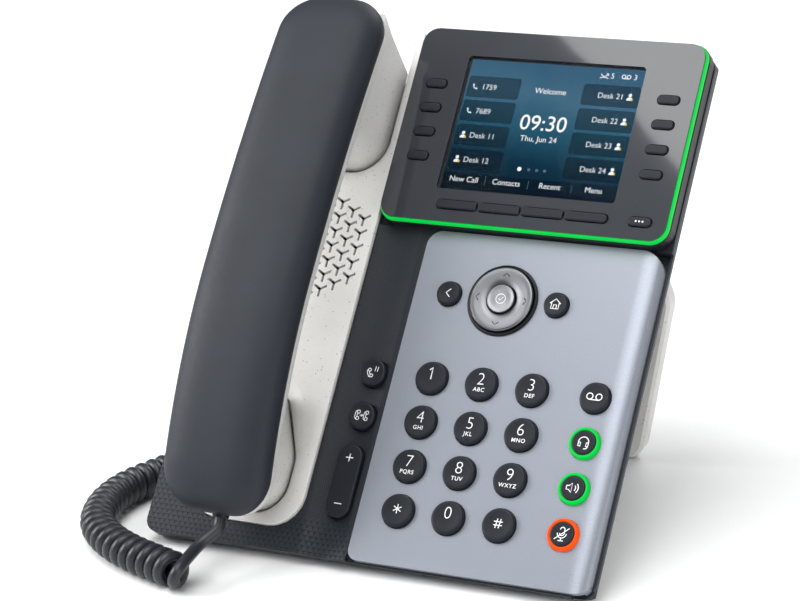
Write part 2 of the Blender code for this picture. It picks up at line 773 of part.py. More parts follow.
def build_handset():
    outer = [handset_ring(0.9, -4.5), handset_ring(0.0, 0.0), handset_ring(0.8, 3.2),
             handset_ring(3.0, 5.6), handset_ring(7.0, 7.2), handset_ring(13.0, 8.0)]
    shell = ring_solid("handset_outer_shell", outer, cap_first=False)
    thick = shell.modifiers.new("wall", "SOLIDIFY")
    thick.thickness = 2.0 * MM
    thick.offset = -1
    thick.use_even_offset = False
    finish_part(shell, "charcoal", FACE)

    inner = [
        handset_ring(7.0, -13.5), handset_ring(3.5, -11.5),
        handset_ring(1.6, -8.0), handset_ring(1.2, -4.8),
    ]
    body = ring_solid("handset_inner_shell", inner)
    finish_part(body, "light_plastic", FACE)
    ear_cup = rounded_box(POCKET_U - 17.5, 79.5, POCKET_U + 17.5, 131, 13, 4)
    cups = [
        plate("join_ear_cup", [ear_cup], -6.0, 24, 2.0),
        plate("join_mouth_cup", [mouth_pocket(-1.0)], -6.0, 20, 2.0),
    ]
    for tool in cups:
        boolean(body, as_cutter(tool, FACE), "UNION")
    slope = side_profile("cut_ear_slope", [(131.5, 21), (150, 21), (150, -9), (119.5, -9)], -110, -50)
    boolean(body, as_cutter(slope, FACE))
    pockets = [
        plate("cut_receiver_room", [circle(HAND_U, 100, 13.6, 24)], -3.0, 40),
        plate("cut_microphone_room", [circle(HAND_U, -38, 6, 12)], 2.0, 40),
        plate("cut_wire_channel", [rounded_box(-84.5, -52, -79.5, 112, 1, 1)], arch(22) - 11, 50),
    ]
    for tool in pockets:
        boolean(body, as_cutter(tool, FACE))
    boolean(body, cord_socket("cut_lead_socket"))
    boolean(shell, cord_socket("cut_lead_notch"))
    capsule = turned("receiver_capsule", [(0, 7), (10, 7), (13.2, 5), (13.2, -2.6), (0, -2.6)], 20)
    finish_part(capsule, "rubber", FACE, (HAND_U, 100, 0))


def cord_socket(name):
    """The round hole in the handset's lower end that the cord's lead enters."""
    start = Vector(HANDSET_EXIT)
    bm = bmesh.new()
    bmesh.ops.create_cone(bm, cap_ends=True, segments=16, radius1=2.5 * MM, radius2=2.5 * MM, depth=16 * MM)
    tool = mesh_object(name, bm)
    as_cutter(tool, FACE, start)
    tool.rotation_euler = (math.radians(90), 0, 0)
    return tool


# ---------------------------------------------------------------- stand, feet and sockets

def hinge_rod(name, radius, half_length):
    """A rod along the stand's hinge axis."""
    bm = bmesh.new()
    bmesh.ops.create_cone(bm, cap_ends=True, segments=16, radius1=radius * MM, radius2=radius * MM,
                          depth=2 * half_length * MM)
    bmesh.ops.rotate(bm, matrix=Matrix.Rotation(math.radians(90), 3, "Y"), verts=bm.verts)
    return as_cutter(mesh_object(name, bm), FACE, (-FACE_U, HINGE_V, HINGE_N))


def build_stand():
    """A leg plate hinged near the top of the back, with a window that cables pass through."""
    hinge = face_to_world(-FACE_U, HINGE_V, HINGE_N)
    lean = math.atan2(STAND_FOOT_Y - hinge.y, hinge.z - STAND_SOLE_Z)
    length = (hinge.z - STAND_SOLE_Z) / math.cos(lean)
    half_shoulder, half_foot = 73.0, 56.0
    outline = rounded([
        (-half_foot, -length - 2, 11), (half_foot, -length - 2, 11),
        (half_shoulder, -34, 12), (HINGE_HALF, -12, 6),
        (HINGE_HALF, 3, 3), (-HINGE_HALF, 3, 3), (-HINGE_HALF, -12, 6), (-half_shoulder, -34, 12),
    ])
    window = rounded([(-36, -length + 24, 8), (36, -length + 24, 8), (40, -34, 8), (-40, -34, 8)])
    leg = plate("desk_stand", [outline, window], -4.0, 4.0, 1.2)
    finish_part(leg, "light_plastic", None, hinge)
    leg.rotation_euler = (math.radians(90) + lean, 0, 0)
    boolean(leg, hinge_rod("join_hinge_pins", 2.0, HINGE_HALF + 5.5), "UNION")
    sole = box("cut_stand_sole", (-200, -100, -40), (200, 200, STAND_SOLE_Z))
    boolean(leg, as_cutter(sole))


def build_jack_block():
    """A hump on the back with the network, headset and handset sockets opening backwards."""
    skin = GAP + 0.05
    low = face_to_world(0, table_plane_v(BACK_N, JACK_FLOOR_Z - UNDERSIDE_Z) + 0.2, BACK_N - skin)
    high = face_to_world(0, 5.0, BACK_N - skin)
    profile = [(low.y, JACK_FLOOR_Z), (JACK_FACE_Y, JACK_FLOOR_Z), (JACK_FACE_Y, 40.0), (high.y, high.z)]
    block = plate("jack_block", [profile], JACK_LEFT, JACK_RIGHT)
    block.data.transform(Matrix(((0, 0, 1, 0), (1, 0, 0, 0), (0, 1, 0, 0), (0, 0, 0, 1))))
    finish_part(block, "rubber")
    for name, x, width, height in sockets():
        low_corner = (x - width / 2, JACK_FACE_Y - SOCKET_DEPTH, SOCKET_Z - height / 2)
        high_corner = (x + width / 2, JACK_FACE_Y + 5, SOCKET_Z + height / 2)
        boolean(block, as_cutter(box(f"cut_{name}", low_corner, high_corner)))


def sockets():
    """Name, x, width and height of the sockets in the jack block."""
    return [
        ("network_socket", -60.0, 11.8, 8.4), ("computer_socket", -44.0, 11.8, 8.4),
        ("headset_socket", -30.0, 8.0, 6.8), ("handset_socket", HANDSET_SOCKET_X, 8.0, 6.8),
    ]


# ---------------------------------------------------------------- handset cord

def build_cord():
    half_plug = 3.3
    plug = box("cord_base_plug", (-half_plug, -9.0, -half_plug + 0.5), (half_plug, 2.6, half_plug - 0.5))
    finish_part(plug, "clear_plastic", None, (HANDSET_SOCKET_X, JACK_FACE_Y, SOCKET_Z))
    coil = [Vector(p) for p in COIL_ROUTE]
    start_axis = (coil[0] - coil[1]).normalized()
    end_axis = (coil[-1] - coil[-2]).normalized()
    cord_piece("cord_coil", smooth_route(coil, 11), COIL_D)
    leave = face_to_world(*HANDSET_EXIT)
    down = (face_to_world(0, -1, 0) - face_to_world(0, 0, 0)).normalized()
    beside = coil[0] + start_axis * (WIRE_D / 2 + GAP)
    lead = [leave, leave + down * 6, Vector((-52.5, -82.5, 13.5)), beside + Vector((1.2, 2.2, 3.6)),
            beside + Vector((-1.0, -2.8, -3.4))]
    cord_piece("cord_handset_lead", smooth_route(lead, 5), WIRE_D)
    plug_back = Vector((HANDSET_SOCKET_X, JACK_FACE_Y + 2.6 + GAP, SOCKET_Z))
    tail = [plug_back] + [Vector(p) for p in TAIL_ROUTE] + [coil[-1] + end_axis * 0.8]
    cord_piece("cord_base_lead", smooth_route(tail, 5), WIRE_D)


def cord_piece(name, route, diameter):
    obj = tube(name, route, diameter)
    obj.data.name = name
    return finish_part(obj, "cord_black")


def build_feet():
    """One rubber strip under the front edge and one under the leg."""
    front_outline = rounded_box(-76, FACE_Y - 37.5, 76, FACE_Y - 31.5, 2.5, 2)
    front = plate("base_foot", [front_outline], 0.0, UNDERSIDE_Z - GAP)
    finish_part(front, "rubber")
    rear_outline = rounded_box(-46, STAND_FOOT_Y - 4, 46, STAND_FOOT_Y + 4, 2.5, 2)
    rear = plate("stand_foot", [rear_outline], 0.0, STAND_SOLE_Z - GAP)
    finish_part(rear, "rubber")


def main():
    build_front_housing()
    build_rear_housing()
    build_keypad_panel()
    build_display()
    build_keys()
    build_inner_pieces()
    build_cradle()
    build_hookswitch()
    build_handset()
    build_stand()
    build_feet()
    build_jack_block()
    build_cord()


clear_scene()
PARTS = new_collection("desk_ip_phone")
CUTTERS = new_collection("cutters")
FACE_MATRIX = (Matrix.Translation(Vector((FACE_U, FACE_Y, FACE_Z)) * MM)
               @ Matrix.Rotation(FACE_TILT, 4, "X"))
FACE = add_empty("face", FACE_MATRIX)
bpy.context.view_layer.update()
main()
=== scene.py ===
"""Looks of the desk IP phone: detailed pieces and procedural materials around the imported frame."""

import json
import math

import bmesh
import bpy
from mathutils import Matrix, Vector


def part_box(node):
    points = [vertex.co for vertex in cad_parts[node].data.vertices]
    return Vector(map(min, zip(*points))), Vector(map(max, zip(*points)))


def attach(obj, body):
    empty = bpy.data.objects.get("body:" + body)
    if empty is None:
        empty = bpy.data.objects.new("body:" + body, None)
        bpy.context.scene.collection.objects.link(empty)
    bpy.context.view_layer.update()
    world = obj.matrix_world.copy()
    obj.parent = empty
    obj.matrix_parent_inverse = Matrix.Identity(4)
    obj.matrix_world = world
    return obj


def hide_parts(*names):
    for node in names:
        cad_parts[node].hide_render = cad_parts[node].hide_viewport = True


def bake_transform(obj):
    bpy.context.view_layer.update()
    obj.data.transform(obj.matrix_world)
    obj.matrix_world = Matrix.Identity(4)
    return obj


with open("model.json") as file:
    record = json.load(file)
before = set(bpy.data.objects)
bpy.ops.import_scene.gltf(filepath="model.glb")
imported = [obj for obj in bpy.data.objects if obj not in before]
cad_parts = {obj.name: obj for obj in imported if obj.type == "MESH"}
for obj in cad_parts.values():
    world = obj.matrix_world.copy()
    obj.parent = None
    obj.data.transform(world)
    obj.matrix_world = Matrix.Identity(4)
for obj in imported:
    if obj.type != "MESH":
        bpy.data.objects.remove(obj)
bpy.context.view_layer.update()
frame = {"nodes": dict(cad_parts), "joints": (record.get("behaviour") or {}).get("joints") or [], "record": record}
NODES = frame["nodes"]
BODY_OF = {n: body for body, members in frame["record"]["behaviour"]["bodies"].items() for n in members}
MM = 0.001

# The face frame: u to the right, v up the tilted face and n out of it, in millimetres
PRESS = Vector(next(j["axis"] for j in frame["joints"] if j["name"] == "select_press"))
FACE_TILT = math.atan2(PRESS.y, -PRESS.z)
TURN = Matrix.Rotation(FACE_TILT, 4, "X")
NAV_V = 32.63
RING_LOW, RING_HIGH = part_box("nav_ring")
FACE_ORIGIN = (RING_LOW + RING_HIGH) / 2 - TURN @ Vector((0, NAV_V, -0.15)) * MM
FACE = Matrix.Translation(FACE_ORIGIN) @ TURN


# ---------------------------------------------------------------- outlines (mm)

def rounded(corners, steps=8):
    """Outline through corners (x, y, radius), anticlockwise, with each corner turned by an arc."""
    points = []
    count = len(corners)
    for i, (x, y, radius) in enumerate(corners):
        here = Vector((x, y))
        if radius <= 0:
            points.append((x, y))
            continue
        back = (Vector(corners[i - 1][:2]) - here).normalized()
        ahead = (Vector(corners[(i + 1) % count][:2]) - here).normalized()
        half = math.acos(max(-1.0, min(1.0, back.dot(ahead)))) / 2
        start = here + back * radius / math.tan(half)
        stop = here + ahead * radius / math.tan(half)
        centre = here + (back + ahead).normalized() * (radius / math.sin(half))
        from_centre = start - centre
        sweep = from_centre.angle_signed(stop - centre)
        for k in range(steps + 1):
            points.append(tuple(centre + Matrix.Rotation(-sweep * k / steps, 2) @ from_centre))
    return points


def rounded_box(left, bottom, right, top, radius, steps=8):
    corners = [(left, bottom), (right, bottom), (right, top), (left, top)]
    return rounded([(x, y, radius) for x, y in corners], steps)


def circle(u, v, radius, steps=48):
    turn = [2 * math.pi * k / steps for k in range(steps)]
    return [(u + radius * math.cos(a), v + radius * math.sin(a)) for a in turn]


def arc(u, v, radius, start, stop, steps=14):
    turn = [math.radians(start + (stop - start) * k / steps) for k in range(steps + 1)]
    return [(u + radius * math.cos(a), v + radius * math.sin(a)) for a in turn]


# ---------------------------------------------------------------- meshes

def new_object(name, data):
    """An object that holds data, linked into the scene."""
    obj = bpy.data.objects.new(name, data)
    bpy.context.scene.collection.objects.link(obj)
    return obj


def smoothed(mesh, angle):
    """Smooth shading that breaks where faces meet at more than angle degrees."""
    mesh.shade_smooth()
    mesh.set_sharp_from_angle(angle=math.radians(angle))


def object_from(name, bm, smooth=35):
    bmesh.ops.remove_doubles(bm, verts=bm.verts, dist=0.000001)
    bmesh.ops.recalc_face_normals(bm, faces=bm.faces)
    mesh = bpy.data.meshes.new(name)
    bm.to_mesh(mesh)
    bm.free()
    smoothed(mesh, smooth)
    return new_object(name, mesh)


def evaluated(obj):
    """Turns an object's modifiers, or a curve, into a plain mesh object of the same name and place."""
    bpy.context.view_layer.update()
    graph = bpy.context.evaluated_depsgraph_get()
    mesh = bpy.data.meshes.new_from_object(obj.evaluated_get(graph))
    name, place = obj.name, obj.matrix_world.copy()
    bpy.data.objects.remove(obj, do_unlink=True)
    result = new_object(name, mesh)
    result.matrix_world = place
    return result


def add_line(curve, points, closed):
    """Adds a straight-sided line through points (mm) to a curve."""
    spline = curve.splines.new("POLY")
    spline.points.add(len(points) - 1)
    for point, (x, y) in zip(spline.points, points):
        point.co = (x * MM, y * MM, 0, 1)
    spline.use_cyclic_u = closed


def plate(name, loops, low, high, edge=0.0, bevel_steps=2):
    """A flat outline from n = low to high with rounded edges. Loops after the first are its holes."""
    curve = bpy.data.curves.new(name, "CURVE")
    curve.dimensions = "2D"
    curve.fill_mode = "BOTH"
    curve.extrude = ((high - low) / 2 - edge) * MM
    curve.bevel_depth = edge * MM
    curve.bevel_resolution = bevel_steps
    curve.offset = -edge * MM
    for loop in loops:
        add_line(curve, loop, True)
    obj = evaluated(new_object(name, curve))
    obj.data.transform(Matrix.Translation((0, 0, (low + high) / 2 * MM)))
    return joined(name, [obj])


def turned(name, profile, steps=48):
    """A profile (radius, height) from the top of the axis down the outside, turned about the axis."""
    bm = bmesh.new()
    verts = [bm.verts.new((r * MM, 0, h * MM)) for r, h in profile]
    for a, b in zip(verts, verts[1:]):
        bm.edges.new((a, b))
    bmesh.ops.spin(bm, geom=bm.verts[:] + bm.edges[:], cent=(0, 0, 0), axis=(0, 0, 1),
                   angle=2 * math.pi, steps=steps, use_duplicate=False)
    return object_from(name, bm, 40)


def box(name, low, high, edge=0.0):
    bm = bmesh.new()
    bmesh.ops.create_cube(bm, size=1)
    bmesh.ops.scale(bm, vec=(Vector(high) - Vector(low)) * MM, verts=bm.verts)
    bmesh.ops.translate(bm, vec=(Vector(low) + Vector(high)) / 2 * MM, verts=bm.verts)
    if edge:
        bmesh.ops.bevel(bm, geom=bm.edges[:], offset=edge * MM, segments=3, profile=0.5, affect="EDGES")
    return object_from(name, bm)


def skin(bm, rows):
    """Faces between each closed row of vertices and the next."""
    for low, high in zip(rows, rows[1:]):
        for i in range(len(low)):
            j = (i + 1) % len(low)
            bm.faces.new((low[i], low[j], high[j], high[i]))


def loft(name, rings, smooth=50):
    """Skins equal rings of points (mm) one after another and closes both ends flat."""
    bm = bmesh.new()
    rows = [[bm.verts.new(Vector(p) * MM) for p in ring] for ring in rings]
    skin(bm, rows)
    bm.faces.new(rows[0][::-1])
    bm.faces.new(rows[-1])
    return object_from(name, bm, smooth)


def closing_circle(u, v, radius, steps):
    """A circle whose last point is its first again, for an open pen stroke."""
    return circle(u, v, radius, steps) + [(u + radius, v)]


def side_profile(name, points, left, right):
    """An outline (v, n) in the side view, run from u = left to right."""
    return loft(name, [[(left, v, n) for v, n in points], [(right, v, n) for v, n in points]])


def joined(name, objects, smooth=35):
    """Several objects' meshes, each where it stands, as one object at the origin."""
    bm = bmesh.new()
    for obj in objects:
        mesh = obj.data.copy()
        mesh.transform(obj.matrix_world)
        bm.from_mesh(mesh)
        bpy.data.meshes.remove(mesh)
        bpy.data.objects.remove(obj, do_unlink=True)
    return object_from(name, bm, smooth)


def stroke(points, width, closed=False, thick=0.12):
    """A flat line with round ends along points (mm), as an icon's pen stroke."""
    curve = bpy.data.curves.new("stroke", "CURVE")
    curve.dimensions = "3D"
    curve.bevel_depth = width / 2 * MM
    curve.bevel_resolution = 2
    curve.use_fill_caps = True
    add_line(curve, points, closed)
    obj = evaluated(new_object("stroke", curve))
    obj.data.transform(Matrix.Diagonal((1, 1, thick, 1)))
    return obj


def words(text, size, u=0.0, v=0.0, align="CENTER", weight=0.0, spacing=1.0):
    """Flat lettering, its middle at (u, v) mm."""
    curve = bpy.data.curves.new("words", "FONT")
    curve.body = text
    curve.size = size * MM
    curve.align_x = align
    curve.align_y = "CENTER"
    curve.extrude = 0.01 * MM
    curve.offset = weight * MM
    curve.space_character = spacing
    curve.resolution_u = 5
    holder = new_object("words", curve)
    holder.location = (u * MM, v * MM, 0)
    return evaluated(holder)


def boolean(obj, tool, operation="DIFFERENCE"):
    modifier = obj.modifiers.new("cut", "BOOLEAN")
    modifier.operation = operation
    modifier.object = tool
    modifier.solver = "EXACT"
    result = evaluated(obj)
    bpy.data.objects.remove(tool, do_unlink=True)
    return result


def rounded_edges(obj, width, segments=2, angle=35):
    modifier = obj.modifiers.new("round_edges", "BEVEL")
    modifier.width = width * MM
    modifier.segments = segments
    modifier.limit_method = "ANGLE"
    modifier.angle_limit = math.radians(angle)
    modifier.use_clamp_overlap = True
    return obj


# ---------------------------------------------------------------- placing

def paint(obj, look):
    obj.data.materials.clear()
    obj.data.materials.append(look)
    return obj


def place(obj, body, look, slot=None, matrix=None, nodes=()):
    """Gives a piece its material, sets it in place and hangs it on its body."""
    paint(obj, look)
    if matrix is not None:
        obj.matrix_world = matrix @ obj.matrix_world
    if nodes:
        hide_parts(*nodes)
    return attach(obj, body)


def flat_shaded_faces(obj, weight=100):
    """Keeps flat faces flat in the light by letting the largest faces decide the shading."""
    shading = obj.modifiers.new("even_shading", "WEIGHTED_NORMAL")
    shading.keep_sharp = True
    shading.weight = weight
    return obj


def on_face(u=0.0, v=0.0, n=0.0):
    return FACE @ Matrix.Translation(Vector((u, v, n)) * MM)


def face_point(u, v, n):
    return FACE @ (Vector((u, v, n)) * MM)


def centre_of(node):
    """A CAD node's middle in face coordinates, in millimetres."""
    co = [FACE.inverted() @ vertex.co / MM for vertex in NODES[node].data.vertices]
    low = Vector([min(c[i] for c in co) for i in range(3)])
    high = Vector([max(c[i] for c in co) for i in range(3)])
    return (low + high) / 2, low, high


def refined(node, look, slot, edge=0.3, segments=2, angle=35, weight=60):
    """A CAD node's own shape with its edges rounded, standing for the node."""
    bm = bmesh.new()
    bm.from_mesh(NODES[node].data)
    obj = object_from(f"{node}_finished", bm, angle)
    flat_shaded_faces(rounded_edges(obj, edge, segments, angle), weight)
    return place(obj, BODY_OF[node], look, slot, nodes=(node,))


# ---------------------------------------------------------------- node materials

def new_look(name, colour, roughness, metallic=0.0, coat=0.0, specular=0.5):
    look = bpy.data.materials.new(name)
    look.use_nodes = True
    for name, value in (("Base Color", (*colour, 1)), ("Roughness", roughness), ("Metallic", metallic),
                        ("Coat Weight", coat), ("Coat Roughness", 0.08), ("Specular IOR Level", specular)):
        shader_of(look).inputs[name].default_value = value
    return look


def add(look, kind, inputs=(), **settings):
    """A shader node with its inputs linked or set."""
    node = look.node_tree.nodes.new(f"ShaderNode{kind}")
    for key, value in settings.items():
        setattr(node, key, value)
    for key, value in dict(inputs).items():
        if isinstance(value, bpy.types.NodeSocket):
            look.node_tree.links.new(value, node.inputs[key])
        else:
            node.inputs[key].default_value = value
    return node


def shader_of(look):
    return look.node_tree.nodes["Principled BSDF"]


def connect(look, socket, name):
    look.node_tree.links.new(socket, shader_of(look).inputs[name])


def dress(look, colour, gloss, normal):
    """Links what a surface is made of: its colour, its roughness and its relief."""
    for socket, name in ((colour, "Base Color"), (gloss, "Roughness"), (normal, "Normal")):
        connect(look, socket, name)
    return look


def coordinates(look, in_face=False):
    """Object coordinates in metres, or the face's u, v and n in millimetres."""
    where = add(look, "TexCoord").outputs["Object"]
    if not in_face:
        return where
    shift = -(TURN.inverted() @ (FACE_ORIGIN / MM))
    mapping = add(look, "Mapping", {
        "Vector": where, "Location": shift, "Rotation": (-FACE_TILT, 0, 0), "Scale": [1 / MM] * 3,
    })
    return mapping.outputs["Vector"]


def noise(look, where, scale, detail=3.0, roughness=0.55):
    return add(look, "TexNoise", {
        "Vector": where, "Scale": scale, "Detail": detail, "Roughness": roughness,
    }).outputs["Fac"]


def ramp(look, value, stops):
    """A colour ramp; stops are (position, colour)."""
    node = add(look, "ValToRGB", {"Fac": value})
    elements = node.color_ramp.elements
    while len(elements) < len(stops):
        elements.new(0.5)
    for element, (position, colour) in zip(elements, stops):
        element.position = position
        element.color = (*colour, 1)
    return node.outputs["Color"]


def maths(look, operation, a, b=0.0):
    return add(look, "Math", {0: a, 1: b}, operation=operation).outputs[0]


def spread(look, value, low, high):
    """A value from 0 to 1 spread between low and high."""
    return add(look, "MapRange", {"Value": value, "To Min": low, "To Max": high}).outputs["Result"]


def measure(look, value, low, high, kind="LINEAR"):
    """How far a value is from low (0) to high (1)."""
    inputs = {"Value": value, "From Min": low, "From Max": high}
    return add(look, "MapRange", inputs, interpolation_type=kind).outputs["Result"]


def wrapped(look, value, pitch):
    """A value folded back into the half pitch on either side of 0."""
    return add(look, "Math", {0: value, 1: pitch / 2, 2: -pitch / 2}, operation="WRAP").outputs[0]


def bump(look, height, distance, strength=1.0, after=None):
    inputs = {"Height": height, "Distance": distance, "Strength": strength}
    if after is not None:
        inputs["Normal"] = after
    return add(look, "Bump", inputs).outputs["Normal"]


def moulded(name, colour, roughness, vary=0.12, grain=0.00003, grain_scale=2600.0, metallic=0.0, coat=0.0,
            specular=0.5):
    """Moulded or painted surface: cloudy colour, uneven gloss and a fine grain."""
    look = new_look(name, colour, roughness, metallic, coat, specular)
    where = coordinates(look)
    cloud = noise(look, where, 55.0, 4.0)
    dark = [c * (1 - vary) for c in colour]
    light = [min(1.0, c * (1 + vary)) for c in colour]
    colour = ramp(look, cloud, [(0.3, dark), (0.7, light)])
    fine = noise(look, where, grain_scale, 2.0)
    gloss = spread(look, noise(look, where, 420.0, 3.0), roughness * 0.88, min(1.0, roughness * 1.14))
    return dress(look, colour, gloss, bump(look, fine, grain))


def ripple(look, where, angle, pitch):
    """A sine wave across the face, from -1 to 1, with crests pitch mm apart."""
    k = 2 * math.pi / pitch
    along = (math.cos(math.radians(angle)) * k, math.sin(math.radians(angle)) * k, 0)
    phase = add(look, "VectorMath", {0: where, 1: along}, operation="DOT_PRODUCT")
    return maths(look, "SINE", phase.outputs["Value"])


STAR_PITCH = (2.2, 2.2 * math.sqrt(3))
STAR_ARM_EDGE = (0.24, 0.13)
STAR_TIP_EDGE = (0.98, 0.84)


def star_mask(look, across, along, shift):
    """1 inside small three-armed stars on a rectangular lattice, 0 outside them."""
    u, v = [wrapped(look, maths(look, "ADD", value, move), size)
            for value, move, size in zip((across, along), shift, STAR_PITCH)]
    squares = [maths(look, "MULTIPLY", value, value) for value in (u, v)]
    reach = maths(look, "SQRT", maths(look, "ADD", *squares))
    angle = maths(look, "ADD", maths(look, "ARCTAN2", v, u), -math.pi / 6)
    folded = wrapped(look, angle, 2 * math.pi / 3)
    off_arm = maths(look, "ABSOLUTE", maths(look, "MULTIPLY", reach, maths(look, "SINE", folded)))
    in_width = measure(look, off_arm, *STAR_ARM_EDGE, "SMOOTHSTEP")
    in_reach = measure(look, reach, *STAR_TIP_EDGE, "SMOOTHSTEP")
    return maths(look, "MULTIPLY", in_width, in_reach)


# Where the weave fades in, and how deep under the face the pattern ends, in face millimetres
VALLEY_U, VALLEY_V = (-58.4, -57.4), (-63.0, -56.0)
PATTERN_FLOOR = -3.0


def housing_look():
    """Charcoal plastic with engraved stars on the left wing and a fine weave in the valley by the panel; their
    sunken parts are painted darker as shade.
    """
    plain, sunken_shade = (0.020, 0.024, 0.031), (0.005, 0.006, 0.008)
    look = new_look("charcoal_textured", plain, 0.45, specular=0.22)
    where = coordinates(look, in_face=True)
    parts = add(look, "SeparateXYZ", {0: where})
    across, along = parts.outputs["X"], parts.outputs["Y"]
    half_pitch = [size / 2 for size in STAR_PITCH]
    stars = [star_mask(look, across, along, shift) for shift in ((0.0, 0.0), half_pitch)]
    stars = maths(look, "MAXIMUM", *stars)
    weave = maths(look, "MULTIPLY", ripple(look, where, 58, 0.95), ripple(look, where, -32, 1.5))
    weave = spread(look, weave, 0.25, 0.8)
    in_valley = maths(look, "MULTIPLY", measure(look, across, *VALLEY_U), measure(look, along, *VALLEY_V))
    pattern = add(look, "Mix", {0: in_valley, 2: stars, 3: weave}, data_type="FLOAT").outputs[0]
    on_top = maths(look, "GREATER_THAN", parts.outputs["Z"], PATTERN_FLOOR)
    sunk_depth_and_shade = maths(look, "MULTIPLY", pattern, on_top)
    # Painted shade: the sunken star and weave grooves are coloured much darker than the plain face.
    colour = ramp(look, sunk_depth_and_shade, [(0.1, plain), (0.9, sunken_shade)])
    grain = bump(look, noise(look, coordinates(look), 2400.0), 0.00002)
    relief = bump(look, maths(look, "SUBTRACT", 1.0, sunk_depth_and_shade), 0.00012, 0.9, grain)
    return dress(look, colour, spread(look, sunk_depth_and_shade, 0.40, 0.58), relief)


def speckled_look():
    """Off-white moulded plastic with small dark grey flecks."""
    look = new_look("off_white_specks", (0.72, 0.71, 0.69), 0.42)
    where = coordinates(look)
    cloud = noise(look, where, 40.0)
    colour = ramp(look, cloud, [(0.3, (0.63, 0.622, 0.604)), (0.7, (0.69, 0.682, 0.664))])
    for scale, size, grey in ((520.0, 0.11, 0.16), (800.0, 0.10, 0.28)):
        cells = add(look, "TexVoronoi", {"Vector": where, "Scale": scale, "Randomness": 1.0})
        chance = add(look, "SeparateColor", {0: cells.outputs["Color"]}).outputs[0]
        keep = maths(look, "GREATER_THAN", chance, 0.30)
        near = maths(look, "LESS_THAN", cells.outputs["Distance"], size)
        fleck = maths(look, "MULTIPLY", near, keep)
        speck = (grey, grey, grey * 0.97, 1)
        colour = add(look, "Mix", {0: fleck, 6: colour, 7: speck}, data_type="RGBA").outputs[2]
    gloss = spread(look, noise(look, where, 500.0), 0.38, 0.5)
    return dress(look, colour, gloss, bump(look, noise(look, where, 2200.0), 0.00002))


def silver_look():
    """Satin silver paint with a fine sparkle."""
    look = new_look("satin_silver", (0.31, 0.34, 0.40), 0.33, 0.5)
    where = coordinates(look)
    sparkle = noise(look, where, 3200.0, 2.0, 0.7)
    colour = ramp(look, sparkle, [(0.25, (0.228, 0.248, 0.288)), (0.75, (0.315, 0.338, 0.386))])
    gloss = spread(look, noise(look, where, 900.0), 0.29, 0.38)
    return dress(look, colour, gloss, bump(look, sparkle, 0.00002))


def turned_metal_look(name, colour, roughness):
    """Aluminium with fine lathe rings about the piece's own axis."""
    look = new_look(name, colour, roughness, 1.0)
    where = coordinates(look)
    inputs = {"Vector": where, "Scale": 900.0, "Distortion": 0.6, "Detail": 2.0}
    rings = add(look, "TexWave", inputs, wave_type="RINGS", rings_direction="Z").outputs["Fac"]
    connect(look, bump(look, rings, 0.000012), "Normal")
    connect(look, ramp(look, rings, [(0.2, [c * 0.86 for c in colour]), (0.8, colour)]), "Base Color")
    shader = shader_of(look)
    shader.inputs["Anisotropic"].default_value = 0.75
    tangent = add(look, "Tangent", direction_type="RADIAL", axis="Z").outputs["Tangent"]
    connect(look, tangent, "Tangent")
    return look


def lit_look(name, colour, strength, own=0.25):
    """Translucent plastic lit from behind, slightly uneven along its length."""
    body = [c * own for c in colour]
    look = new_look(name, body, 0.4, specular=0.1)
    where = coordinates(look)
    cloud = noise(look, where, 90.0)
    for tint, socket in ((body, "Base Color"), (colour, "Emission Color")):
        connect(look, ramp(look, cloud, [(0.2, [c * 0.86 for c in tint]), (0.8, tint)]), socket)
    shader_of(look).inputs["Emission Strength"].default_value = strength
    return look


def screen_look(low, high):
    """The picture's backdrop: light steel blue at the top, deep navy lower down."""
    look = new_look("screen_backdrop", (0.001, 0.002, 0.004), 0.6, specular=0.0)
    where = coordinates(look)
    parts = add(look, "SeparateXYZ", {0: where})
    height = measure(look, parts.outputs["Y"], low * MM, high * MM)
    height = maths(look, "ADD", height, maths(look, "MULTIPLY", parts.outputs["X"], 2.2))
    cloud = maths(look, "MULTIPLY", noise(look, where, 50.0, 2.0), 0.10)
    height = maths(look, "ADD", height, cloud)
    shade = ramp(look, height, [
        (0.05, (0.001, 0.009, 0.018)), (0.28, (0.003, 0.030, 0.060)), (0.55, (0.016, 0.095, 0.155)),
        (0.80, (0.055, 0.150, 0.235)), (1.0, (0.040, 0.120, 0.205)),
    ])
    connect(look, shade, "Emission Color")
    shader_of(look).inputs["Emission Strength"].default_value = 1.0
    return look


def veil_look(name, tint, roughness, specular, scale, least, most):
    """A see-through layer that covers what is behind it by least to most."""
    look = new_look(name, tint, roughness, specular=specular)
    cloud = noise(look, coordinates(look), scale)
    connect(look, spread(look, cloud, least, most), "Alpha")
    return look


def clear_look(name, tint, roughness):
    """Clear acrylic with the faintest unevenness."""
    look = new_look(name, tint, roughness)
    shader = shader_of(look)
    shader.inputs["Transmission Weight"].default_value = 1.0
    shader.inputs["IOR"].default_value = 1.49
    connect(look, bump(look, noise(look, coordinates(look), 300.0), 0.000004), "Normal")
    return look


CHARCOAL = moulded("charcoal_satin", (0.0185, 0.0215, 0.0285), 0.54, 0.08, 0.000018, 3000.0, specular=0.24)
HOUSING = housing_look()
REAR = moulded("charcoal_rear", (0.030, 0.032, 0.036), 0.58, 0.12, 0.00006, 1500.0)
LIGHT = speckled_look()
SILVER = silver_look()
BEZEL = moulded("gloss_bezel", (0.038, 0.041, 0.047), 0.035, 0.04, 0.0000001, 900.0, coat=0.4)
DARK_EDGE = moulded("dark_edge", (0.010, 0.011, 0.013), 0.35, 0.10, 0.00001, specular=0.22)
KEY = moulded("key_satin", (0.010, 0.012, 0.017), 0.38, 0.10, 0.000012, 2600.0, specular=0.22)
INK = moulded("white_ink", (0.78, 0.79, 0.80), 0.5, 0.04, 0.000004, 2600.0)
FAINT_INK = moulded("grey_ink", (0.16, 0.165, 0.17), 0.5, 0.04, 0.000004, 2600.0)
RUBBER = moulded("black_rubber", (0.016, 0.016, 0.018), 0.7, 0.2, 0.00008, 1200.0)
